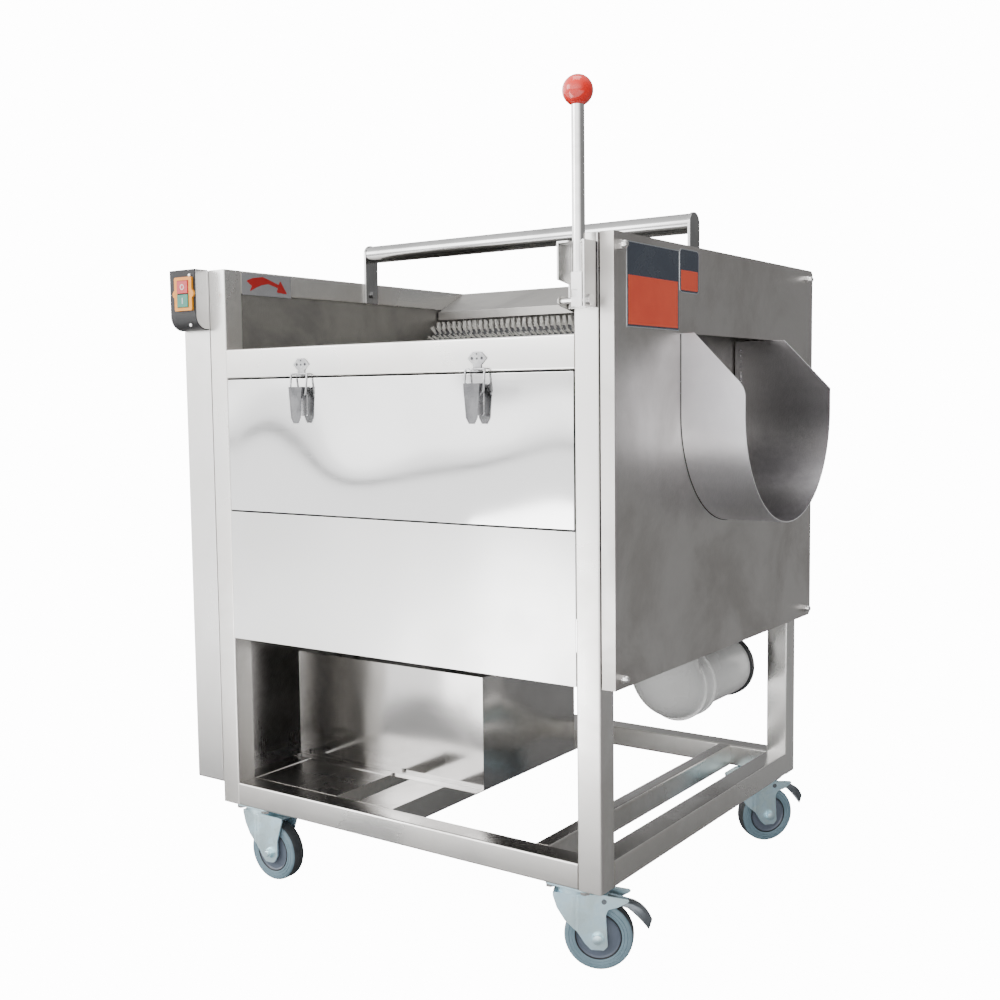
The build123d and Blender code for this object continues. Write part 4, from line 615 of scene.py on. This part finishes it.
def tyre_shape(place):
    """Make a tyre with a grooved side wall and a darker crowned tread."""
    shape = bmesh.new()
    along = place @ WHEEL_AXIS
    half = [(34.9, 13.0), (35.8, 13.7), (38.6, 13.9), (39.2, 13.1), (39.8, 13.9), (43.4, 14.0), (44.0, 13.1),
            (44.6, 14.0), (48.0, 13.7), (49.8, 12.8), (51.0, 11.2), (51.7, 8.8), (51.99, 5.0)]
    turned(shape, [(r, -h) for r, h in half] + [(r, h) for r, h in reversed(half)], along, 96)
    to_axle = along.inverted()
    for face in shape.faces:
        middle = to_axle @ face.calc_center_median()
        face.material_index = 1 if math.hypot(middle.x, middle.y) > TREAD_R * MM else 0
    return shape


def hub_shape(place):
    """Make a dished hub with its boss, black ring and bearing cap."""
    shape = bmesh.new()
    along = place @ WHEEL_AXIS
    half = [(5.1, 17.6), (12.6, 17.6), (13.6, 16.6), (14.4, 12.2), (16.0, 11.4), (30.6, 11.2), (32.4, 12.6),
            (33.2, 13.0)]
    turned(shape, [(r, -h) for r, h in half] + [(r, h) for r, h in reversed(half)], along, 72)
    for side in (-1, 1):
        ring = ((33.0, 8.0), (33.0, 13.4), (33.8, 14.1), (34.8, 14.1), (35.4, 13.4), (35.4, 8.0))
        turned(shape, [(r, side * h) for r, h in ring], along, 72, material=1)
        turned(shape, [(5.2, side * 16.8), (11.4, side * 16.8), (11.4, side * 17.8), (5.2, side * 17.8)], along, 40,
               material=2)
    return shape


def arc_through(first, middle, last, steps):
    """List the points of the arc that starts at first, passes middle and ends at last."""
    (ax, ay), (bx, by), (cx, cy) = first, middle, last
    d = 2 * (ax * (by - cy) + bx * (cy - ay) + cx * (ay - by))
    sa, sb, sc = ax * ax + ay * ay, bx * bx + by * by, cx * cx + cy * cy
    ux = (sa * (by - cy) + sb * (cy - ay) + sc * (ay - by)) / d
    uy = (sa * (cx - bx) + sb * (ax - cx) + sc * (bx - ax)) / d
    begin, through, stop = (math.atan2(y - uy, x - ux) for x, y in (first, middle, last))
    turn = (stop - begin) % math.tau
    if (through - begin) % math.tau > turn:
        turn -= math.tau
    radius = math.hypot(ax - ux, ay - uy)
    angles = [begin + turn * k / steps for k in range(steps + 1)]
    return [(ux + radius * math.cos(angle), uy + radius * math.sin(angle)) for angle in angles]


def pedal_shape(place):
    """Make the brake pedal on its pin: a channel that curves down to a narrow tip, with a shoe above the tyre.

    Along the channel, backs and mouths are the (x, z) of its back and its open side, and halves its half widths.
    """
    shape = bmesh.new()
    bends = 14
    backs = [(44.0, -19.4), (54.0, -21.7), (64.0, -24.0), (71.0, -25.6)]
    backs += arc_through((78.0, -27.3), (102.7, -39.3), (113.6, -55.2), bends)
    mouths = [(44.0, -28.6), (54.0, -29.0), (63.0, -31.8), (71.0, -33.9)]
    mouths += arc_through((78.0, -35.6), (95.3, -51.2), (108.7, -70.5), bends)
    halves = [9.0, 10.4, 11.4, 11.8] + [2.2 + 9.7 * (1.0 - (k / bends) ** 2.6) for k in range(bends + 1)]
    rows = []
    for (x, z), (mx, mz), half in zip(backs, mouths, halves):
        depth = math.hypot(mx - x, mz - z)
        inward = ((mx - x) / depth, (mz - z) / depth)
        bend, sheet = min(4.0, 0.6 * half, 0.5 * depth), min(1.6, 0.4 * half, 0.25 * depth)
        quarter = [(half, depth), (half, bend), (half - 0.3 * bend, 0.3 * bend), (half - bend, 0.0)]
        lining = [(half - bend, sheet), (half - sheet - 0.25 * bend, sheet + 0.25 * bend),
                  (half - sheet, max(bend, sheet)), (half - sheet, depth)]
        loop = [(-y, sink) for y, sink in quarter] + quarter[::-1] + lining[::-1] + [(-y, sink) for y, sink in lining]
        spots = [Vector((x + inward[0] * sink, y, z + inward[1] * sink)) * MM for y, sink in loop]
        rows.append([shape.verts.new(spot) for spot in spots])
    for upper, lower in zip(rows, rows[1:]):
        for k in range(len(upper)):
            nxt = (k + 1) % len(upper)
            shape.faces.new((upper[k], upper[nxt], lower[nxt], lower[k]))
    shape.faces.new(rows[0])
    shape.faces.new(rows[-1][::-1])
    along = Matrix.Translation((44 * MM, 0, -24 * MM)) @ Matrix.Rotation(math.pi / 2, 4, "X")
    turned(shape, [(2.4, -11.8), (4.9, -11.8), (4.9, 11.8), (2.4, 11.8)], along, 28)
    pin = [(0.01, 22.4), (3.8, 22.4), (3.8, 21.1), (2.4, 20.9)]
    turned(shape, [(r, -h) for r, h in pin] + pin[::-1], along, 24)
    shoe = [(57.5, -29.3), (64.0, -32.2), (76.0, -35.2), (76.0, -29.0), (58.0, -26.0)]
    prism(shape, shoe, side_plane(Matrix.Identity(4), 8.0), 16.0)
    bmesh.ops.transform(shape, matrix=place, verts=shape.verts)
    return shape


def add_bolt(shape, place, across, height):
    """Add a hexagon bolt head with a chamfered top to a shape, on the place's local XY."""
    prism(shape, hex_outline(across), place, height)
    chamfer = [(0.01, height), (across * 0.46, height), (across * 0.40, height + 0.5), (0.01, height + 0.5)]
    turned(shape, chamfer, place, 24)


def add_caster_part(part, ending, corner, shape, finish, body, smooth_angle=35.0):
    """Put a caster's part in the place of its CAD node."""
    name = f"caster_{part}_{corner}"
    data = mesh_from(f"caster_{part}", shape, smooth_angle)
    piece = add_piece(f"{name}_{ending}", data, finish, f"{body}_{corner}")
    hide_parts(name)
    return piece


# Each caster's X, Y and turn in degrees, and whether it has a brake.
CASTERS = {"front_left": (-723.0, 36.0, 0.6, False), "front_right": (-65.0, 36.0, 25.0, True),
           "rear_left": (-723.0, 666.0, 8.0, False), "rear_right": (-65.0, 666.0, 51.0, True)}
# The bolts hang under the caster plates, half a bolt square to each side of the swivel axis.
PLATE_FOOT, BOLTS_X, BOLTS_Y = -4.0, 30.0, 23.5

for corner, (x, y, turn, braked) in CASTERS.items():
    swivel = Matrix.Translation(at(x, y, 0)) @ Matrix.Rotation(math.radians(turn), 4, "Z")
    round_edges(add_caster_part("fork", "pressed", corner, fork_shape(swivel, braked), "zinc", "fork"), 0.8)
    add_caster_part("tyre", "moulded", corner, tyre_shape(swivel), ["tyre", "tread"], "wheel", 50)
    hub_finishes = ["hub", "hub_ring", "bright_steel"]
    round_edges(add_caster_part("hub", "moulded", corner, hub_shape(swivel), hub_finishes, "wheel"), 0.5)
    if braked:
        add_caster_part("pedal", "pressed", corner, pedal_shape(swivel), "pedal", "pedal", 40)
    shape = bmesh.new()
    square = Matrix.Translation(at(x, y, PLATE_FOOT)) @ Matrix.Rotation(math.pi, 4, "X")
    for bolt_x in (-BOLTS_X, BOLTS_X):
        for bolt_y in (-BOLTS_Y, BOLTS_Y):
            add_bolt(shape, square @ Matrix.Translation((bolt_x * MM, bolt_y * MM, 0)), 13.0, 4.6)
    bolts = mesh_from("caster_bolts", shape)
    add_piece(f"caster_bolts_{corner}", bolts, "bright_steel", "frame")

# ---- brush rollers with dense bristles ----

ROLLER_R, CORE_R, TUFT_FOOT_R, SHAFT_R = 48.0, 28.0, 27.5, 10.0
# Seven rollers lie on a half circle round the trough, the first one a drop below its axis, and two stand above it.
AXIS_R = TROUGH_R + 2.0 + ROLLER_R
PITCH, DROP = 98.0, 54.0
FIRST = math.asin(DROP / AXIS_R)
STEP = 2 * math.asin(PITCH / 2 / AXIS_R)
ANGLES = [FIRST + k * STEP for k in range(7)]
ROLLERS = [(TROUGH_Y + AXIS_R * math.cos(angle), TROUGH_Z - AXIS_R * math.sin(angle)) for angle in ANGLES]
ROLLERS += [(TROUGH_Y + AXIS_R, ROLLERS[0][1] + k * PITCH) for k in (1, 2)]
BRUSH_LEFT, BRUSH_RIGHT, SHAFT_LEFT, SHAFT_RIGHT = -746.0, -65.0, -828.0, -51.5
# Every roller has a sprocket for the roller chain, and the driven one a second sprocket for the motor chain.
CHAIN_ROW, MOTOR_ROW, DRIVEN = -806.0, -822.0, 4
TEETH = 14
# Each roller's tufts stand this much farther round than those of the roller before it, in radians.
TUFT_TURN = 0.37


def bristle_mesh(seed):
    """Make the tufts of one roller about the X axis: rings of bundles of bent strands, in straight rows."""
    draw = random.Random(seed)
    verts, faces = [], []
    rings, around, strands, curl = 50, 12, 9, 1.6
    pitch = (BRUSH_RIGHT - BRUSH_LEFT) / rings
    for ring in range(rings):
        x_foot = BRUSH_LEFT + (ring + 0.5) * pitch
        for k in range(around):
            turn = 2 * math.pi * k / around
            lean_x, lean_turn = draw.uniform(-1.0, 1.0), draw.uniform(-0.03, 0.03)
            for strand in range(strands):
                spin = 2 * math.pi * strand / strands + draw.uniform(-0.3, 0.3)
                out = draw.uniform(0.6, 2.0) if strand else 0.2
                foot_x, foot_turn = x_foot + out * math.cos(spin), turn + out * math.sin(spin) / CORE_R
                tip_x = foot_x + lean_x + 1.3 * out * math.cos(spin)
                tip_turn = foot_turn + lean_turn + 0.02 * out * math.sin(spin)
                tip_r = ROLLER_R - 0.8 - draw.uniform(0.0, 1.6)
                start = len(verts)
                for part, thick in ((0.0, 0.62), (0.55, 0.56), (1.0, 0.40)):
                    radius = TUFT_FOOT_R + (tip_r - TUFT_FOOT_R) * part
                    x = foot_x + (tip_x - foot_x) * part ** curl
                    angle = foot_turn + (tip_turn - foot_turn) * part ** curl
                    for side in range(3):
                        swing = 2 * math.pi * side / 3 + spin
                        dx, dt = thick * math.cos(swing), thick * math.sin(swing) / radius
                        verts.append((x + dx, radius * math.cos(angle + dt), radius * math.sin(angle + dt)))
                for level in range(2):
                    for side in range(3):
                        a = start + level * 3 + side
                        b = start + level * 3 + (side + 1) % 3
                        faces.append((a, b, b + 3, a + 3))
                faces.append((start + 6, start + 7, start + 8))
                faces.append((start + 2, start + 1, start))
    data = bpy.data.meshes.new("roller_bristles")
    data.from_pydata([((CORNER_X + x) * MM, y * MM, z * MM) for x, y, z in verts], [], faces)
    return data


def sprocket_profile():
    """List the outline of a sprocket."""
    outline = []
    for k in range(TEETH):
        middle = 360.0 * k / TEETH
        for radius, turn in ((23.8, -8.5), (27.0, -6.0), (30.4, -2.6), (30.4, 2.6), (27.0, 6.0), (23.8, 8.5)):
            angle = math.radians(middle + turn)
            outline.append((radius * math.cos(angle), radius * math.sin(angle)))
    return outline


def roller_shaft_mesh(rows):
    """Make the core, the shaft and the sprockets of one roller about the X axis."""
    shape = bmesh.new()
    along = Matrix.Translation((CORNER.x, 0, 0)) @ Vector((1, 0, 0)).to_track_quat("Z", "Y").to_matrix().to_4x4()
    for bore, radius, chamfer, left, right, steps, material in (
            (SHAFT_R + 0.2, CORE_R, 1.5, BRUSH_LEFT, BRUSH_RIGHT, 48, 1),
            (0.01, SHAFT_R, 0.8, SHAFT_LEFT, SHAFT_RIGHT, 32, 0)):
        profile = [(bore, left), (radius - chamfer, left), (radius, left + chamfer), (radius, right - chamfer),
                   (radius - chamfer, right), (bore, right)]
        turned(shape, profile, along, steps, material)
    for row in rows:
        prism(shape, sprocket_profile(), along @ Matrix.Translation((0, 0, (row - 3.0) * MM)), 6.0)
        turned(shape, [(10.1, row - 6.0), (17.0, row - 6.0), (17.0, row + 6.0), (10.1, row + 6.0)], along, 32)
    return mesh_from("roller_shaft", shape)


BRISTLES = [bristle_mesh(seed) for seed in (1, 2)]
for k, (y, z) in enumerate(ROLLERS, 1):
    rows = [CHAIN_ROW, MOTOR_ROW] if k == DRIVEN else [CHAIN_ROW]
    shaft = add_piece(f"roller_{k}_shaft_and_core", roller_shaft_mesh(rows), ["shaft_steel", "core"],
                      f"roller_{k}")
    shaft.location = (0, CORNER.y + y * MM, CORNER.z + z * MM)
    tufts = add_piece(f"roller_{k}_bristles", BRISTLES[k % 2].copy(), "bristle", f"roller_{k}")
    tufts.location = (0, CORNER.y + y * MM, CORNER.z + z * MM)
    tufts.rotation_euler = (TUFT_TURN * k, 0, 0)
    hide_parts(f"brush_roller_{k}")

# ---- small fittings, plates and marks ----


def flat_plate(shape, corners, place, depth, material=0, radius=0.0):
    """Add a thin plate with rounded corners between two opposite corners in the place's local XY."""
    (x0, y0), (x1, y1) = corners
    outline = [(x0, y0), (x1, y0), (x1, y1), (x0, y1)]
    prism(shape, rounded(outline, radius) if radius else outline, place, depth, material)


def facing(turn, x, y, z):
    """Make a place on a face that looks forward or rightward."""
    return Matrix.Translation(at(x, y, z)) @ turn


def add_fitting(name, shape, finish, body="frame", smooth_angle=35.0):
    """Put a fitting in the scene as a piece on a body, with its finish."""
    add_piece(name, mesh_from(name, shape, smooth_angle), finish, body)


for label, place, width, height, split, radius in (
        ("large_nameplate", facing(RIGHTWARD, PANEL_FACE, 35.5, 815.0), 160.0, 120.0, 73.0, 0.0),
        ("small_nameplate", facing(RIGHTWARD, PANEL_FACE, 198.0, 873.0), 65.0, 66.0, 34.0, 9.0)):
    shape = bmesh.new()
    flat_plate(shape, ((0, 0), (width, height)), place, 0.4, 0, radius)
    flat_plate(shape, ((1.6, 1.6), (width - 1.6, height - 1.6)), place, 0.5, 1, max(0.0, radius - 1.6))
    flat_plate(shape, ((4.0, 4.0), (width - 4.0, split)), place, 0.6, 2, 0.3 * radius)
    add_fitting(label, shape, ["plate_rim", "plate_dark", "plate_red"])

shape = bmesh.new()
sticker = facing(RIGHTWARD, -745.0, 40.5, 904.0)
flat_plate(shape, ((0, 0), (121.0, 38.0)), sticker, 0.3)
arrow = [(10.6, 24.4), (25.0, 30.0), (50.0, 33.8), (63.6, 30.2), (90.0, 22.2), (93.8, 30.0), (111.0, 6.6),
         (84.8, 8.4), (87.5, 16.5), (63.6, 22.2), (47.7, 19.2), (34.0, 14.0), (17.5, 5.6), (23.9, 16.4), (17.0, 20.5)]
prism(shape, rounded(arrow, 2.0, 3), sticker, 0.5, 1)
add_fitting("direction_sticker", shape, ["sticker_grey", "arrow_red"])

shape = bmesh.new()
head = [(0.01, 0.0), (3.4, 0.0), (3.1, 1.2), (2.0, 1.8), (0.01, 2.0)]
for z in (935.5, 850.3):
    turned(shape, head, facing(FORWARD, -798.6, -30.0, z), 24)
add_fitting("switch_plate_screws", shape, "bright_steel", smooth_angle=50)

for kind in ("stop", "start"):
    low, high = box_of(f"{kind}_button")
    shape = bmesh.new()
    spot = facing(FORWARD, (low.x + high.x) / 2, low.y + MARK_DEPTH, (low.z + high.z) / 2)
    if kind == "stop":
        turned(shape, [(3.4, 0.0), (5.0, 0.0), (5.0, 0.3), (3.4, 0.3)], spot, 32)
    else:
        flat_plate(shape, ((-0.9, -5.2), (0.9, 5.2)), spot, 0.3)
    add_fitting(f"{kind}_button_mark", shape, "mark_white", BODY_OF[f"{kind}_button"])

# Two upright weld seams inside the chute, the second one broken above its foot, and two tack marks beside the chute.
shape = bmesh.new()
bead = random.Random(4)
BEAD_STEP, SEAM_Y = 3.2, 551.8
for x, low, high, whole in ((-52.0, 766.5, 817.0, True), (-33.5, 739.0, 801.0, False)):
    for step in range(int((high - low) / BEAD_STEP)):
        if whole or step < 6 or step % 3 == 0:
            spot = Matrix.Translation(at(x + bead.uniform(-0.5, 0.5), SEAM_Y, low + BEAD_STEP * step))
            bmesh.ops.create_icosphere(shape, subdivisions=2, radius=bead.uniform(1.6, 2.6) * MM, matrix=spot)
for z in (739.3, 721.8):
    flat_plate(shape, ((-7.0, -0.5), (9.0, 0.5)), facing(RIGHTWARD, PANEL_FACE, 197.7, z), 0.4)
add_fitting("chute_weld_beads", shape, "weld", smooth_angle=60)

# A thin dark line where the chute meets the side panel: a painted shadow for the gap between them.
low, high = box_of("discharge_chute")
reach = (high.y - low.y) / 2
joint = [(TROUGH_Y - reach, high.z - 1.0), (TROUGH_Y - reach, TROUGH_Z)]
joint += arc_points((TROUGH_Y, TROUGH_Z), reach, 180.0, 360.0, 48)
joint += [(TROUGH_Y + reach, high.z - 1.0)]
joint = [at(PANEL_FACE + 0.2, y, z) for y, z in joint]
wire_piece("chute_shadow_strip", joint, 0.9, "joint_dark", "frame")

low, high = box_of("latch_keepers")
shape = bmesh.new()
KEEPER_HALF, KEEPER_FACE = 18.0, -2.0
for middle in (low.x + KEEPER_HALF, high.x - KEEPER_HALF):
    for x, z, size in ((-9.0, -10.0, 2.4), (0.0, -10.5, 1.8), (9.0, -10.0, 2.4), (0.0, -3.6, 1.5)):
        head = [(0.01, 0.0), (size, 0.0), (0.8 * size, 0.7), (0.01, 1.0)]
        turned(shape, head, facing(FORWARD, middle + x, KEEPER_FACE, high.z + z), 20)
add_fitting("keeper_rivets", shape, "rivet_steel", smooth_angle=50)

low, high = box_of("motor_box")
shape = bmesh.new()
LIP_WIDTH, LIP_THICK = 9.0, 1.6
lip = ((low.x + 1.0, low.y - LIP_WIDTH), (high.x - 1.0, low.y + 1.0))
flat_plate(shape, lip, Matrix.Translation(at(0, 0, low.z)), LIP_THICK)
for x in (low.x + 12.0, low.x + 244.0):
    add_bolt(shape, Matrix.Translation(at(x, low.y - LIP_WIDTH / 2, low.z + LIP_THICK)), 8.0, 4.0)
add_fitting("motor_box_flange", shape, "box_steel")

# ---- floor, light and camera ----


def flat_finish(name, colour, strength=0.0):
    """Make a plain stage material that may glow."""
    made = bpy.data.materials.new(name)
    made.use_nodes = True
    shader = made.node_tree.nodes["Principled BSDF"]
    shader.inputs["Base Color"].default_value = (*colour, 1.0)
    shader.inputs["Roughness"].default_value = 0.9
    shader.inputs["Specular IOR Level"].default_value = 0.1
    shader.inputs["Emission Color"].default_value = (*colour, 1.0)
    shader.inputs["Emission Strength"].default_value = strength
    return made


def stage_card(name, centre, target, width, height, material, hidden=True):
    """Put a flat card in the studio, facing a target."""
    data = bpy.data.meshes.new(name)
    w, h = width / 2, height / 2
    data.from_pydata([(-w, -h, 0), (w, -h, 0), (w, h, 0), (-w, h, 0)], [], [(0, 1, 2, 3)])
    card = put_in_scene(name, data)
    card.data.materials.append(material)
    card.location = centre
    card.rotation_euler = (Vector(target) - Vector(centre)).to_track_quat("Z", "Y").to_euler()
    card.visible_camera = not hidden
    card.visible_shadow = not hidden
    card.visible_diffuse = not hidden
    return card


def seen_directly(tree, strength):
    """Give a strength to what the camera sees directly, and none to light and reflections."""
    path = node(tree, "ShaderNodeLightPath")
    pick = node(tree, "ShaderNodeMapRange", {"To Min": 0.0, "To Max": strength})
    tree.links.new(path.outputs["Is Camera Ray"], pick.inputs["Value"])
    return pick.outputs["Result"]


# What the camera sees of the floor and the surround glows almost white, while the part sees them much darker.
FLOOR_SEEN, SURROUND_SEEN = 62.0, 14.0
floor_white = flat_finish("studio_floor", (0.22, 0.22, 0.22))
floor_tree = floor_white.node_tree
floor_glow = floor_tree.nodes["Principled BSDF"].inputs["Emission Strength"]
floor_tree.links.new(seen_directly(floor_tree, FLOOR_SEEN), floor_glow)
stage_card("studio_floor", (0, 0, 0), (0, 0, 1), 60.0, 60.0, floor_white, hidden=False)
GREY = flat_finish("grey_card", (0.2, 0.2, 0.2), 1.4)
PALE = flat_finish("pale_card", (0.8, 0.8, 0.8), 1.25)
BRIGHT = flat_finish("bright_card", (1.0, 1.0, 1.0), 6.0)

# Light levels of the surround from the horizon up, as (height, level): behind and to the right, then front left.
BACK_LEVELS = ((0.0, 0.26), (0.25, 0.30), (0.55, 0.4), (0.8, 0.8))
FRONT_LEVELS = ((0.0, 3.4), (0.12, 3.6), (0.35, 3.2), (0.8, 1.6))
# The curves hold levels from zero to one, so they are stored divided by this and multiplied back.
TOP_LEVEL = 4.0


def make_surround():
    """Light the studio brightest from the front left and above, and leave it dim behind and to the right."""
    world = bpy.data.worlds.new("studio_surround")
    bpy.context.scene.world = world
    world.use_nodes = True
    tree = world.node_tree
    direction = node(tree, "ShaderNodeTexCoord").outputs["Generated"]
    toward = node(tree, "ShaderNodeVectorMath", operation="DOT_PRODUCT")
    toward.inputs[1].default_value = (-0.62, -0.78, 0.0)
    side = node(tree, "ShaderNodeMapRange", {"From Min": -0.55, "From Max": 0.65}, interpolation_type="SMOOTHSTEP")
    height = node(tree, "ShaderNodeSeparateXYZ")
    wire(tree, [(direction, toward.inputs[0]), (toward.outputs["Value"], side.inputs["Value"]),
                (direction, height.inputs[0])])
    levels = []
    for stops in (BACK_LEVELS, FRONT_LEVELS):
        ramp = node(tree, "ShaderNodeFloatCurve")
        curve = ramp.mapping.curves[0]
        curve.points[0].location = (0.0, stops[0][1] / TOP_LEVEL)
        curve.points[1].location = (1.0, stops[-1][1] / TOP_LEVEL)
        for place, level in stops[1:]:
            curve.points.new(place, level / TOP_LEVEL)
        ramp.mapping.update()
        tree.links.new(height.outputs["Z"], ramp.inputs["Value"])
        levels.append(ramp.outputs["Value"])
    blend = node(tree, "ShaderNodeMix")
    wire(tree, [(side.outputs["Result"], blend.inputs["Factor"]), (levels[0], blend.inputs["A"]),
                (levels[1], blend.inputs["B"])])
    scale = node(tree, "ShaderNodeMath", operation="MULTIPLY")
    scale.inputs[1].default_value = TOP_LEVEL
    path = node(tree, "ShaderNodeLightPath")
    pick = node(tree, "ShaderNodeMix")
    pick.inputs["B"].default_value = SURROUND_SEEN
    sky = tree.nodes["Background"]
    sky.inputs["Color"].default_value = (1.0, 1.0, 1.0, 1.0)
    wire(tree, [(blend.outputs["Result"], scale.inputs[0]), (scale.outputs[0], pick.inputs["A"]),
                (path.outputs["Is Camera Ray"], pick.inputs["Factor"]),
                (pick.outputs["Result"], sky.inputs["Strength"])])


make_surround()
stage_card("grey_band_left", (-4.2, -4.6, 1.12), (0, 0, 1.0), 9.0, 0.10, GREY)
stage_card("grey_band_high", (-4.2, -4.6, 1.45), (0, 0, 1.0), 9.0, 0.05, GREY)
stage_card("grey_band_low", (-3.6, -4.0, 0.55), (0, 0, 0.6), 7.0, 0.06, GREY)
stage_card("pale_floor_front", (-14.0, -21.0, 0.004), (-14.0, -21.0, 1.0), 40.0, 40.0, PALE)
strip = stage_card("bright_floor_strip", (-1.6, -3.1, 0.008), (-1.6, -3.1, 1.0), 0.8, 4.6, BRIGHT)
strip.rotation_euler = (0, 0, math.atan2(1.57, -2.33) + math.pi)


def soft_light(name, place, target, size, power, mirrored=True):
    """Hang a flat soft light that points at a target."""
    data = bpy.data.lights.new(name, "AREA")
    data.shape = "RECTANGLE"
    data.size, data.size_y = size
    data.energy = power
    lamp = put_in_scene(name, data)
    lamp.location = place
    lamp.rotation_euler = (Vector(target) - Vector(place)).to_track_quat("-Z", "Y").to_euler()
    lamp.visible_camera = False
    lamp.visible_glossy = mirrored


soft_light("front_left_light", (-2.6, -3.4, 2.6), (0, 0, 0.6), (2.0, 2.0), 90)
soft_light("overhead_light", (0.2, -0.6, 4.2), (0, 0, 0.5), (2.0, 2.0), 50)
soft_light("right_fill_light", (2.2, -2.4, 0.9), (0.2, 0, 0.4), (1.2, 1.2), 16, mirrored=False)

# The camera fitted to the photo: its focal length in pixels of the photo's width, its angles in radians, its place.
PHOTO_WIDTH, FOCAL, SENSOR = 1000.0, 1240.79, 36.0
CAMERA_PLACE = (881.38, -1501.61, 717.27)
yaw, pitch, roll = -0.610881, 0.081744, -0.011858
ahead = Vector((math.sin(yaw) * math.cos(pitch), math.cos(yaw) * math.cos(pitch), -math.sin(pitch)))
across = Vector((math.cos(yaw), -math.sin(yaw), 0))
upward = across.cross(ahead)
right = across * math.cos(roll) + upward * math.sin(roll)
up = -across * math.sin(roll) + upward * math.cos(roll)
lens = bpy.data.cameras.new("photo_camera")
lens.sensor_width = SENSOR
lens.lens = SENSOR * FOCAL / PHOTO_WIDTH
camera = put_in_scene("photo_camera", lens)
camera.matrix_world = Matrix.Translation(at(*CAMERA_PLACE)) @ Matrix((right, up, -ahead)).transposed().to_4x4()
bpy.context.scene.camera = camera
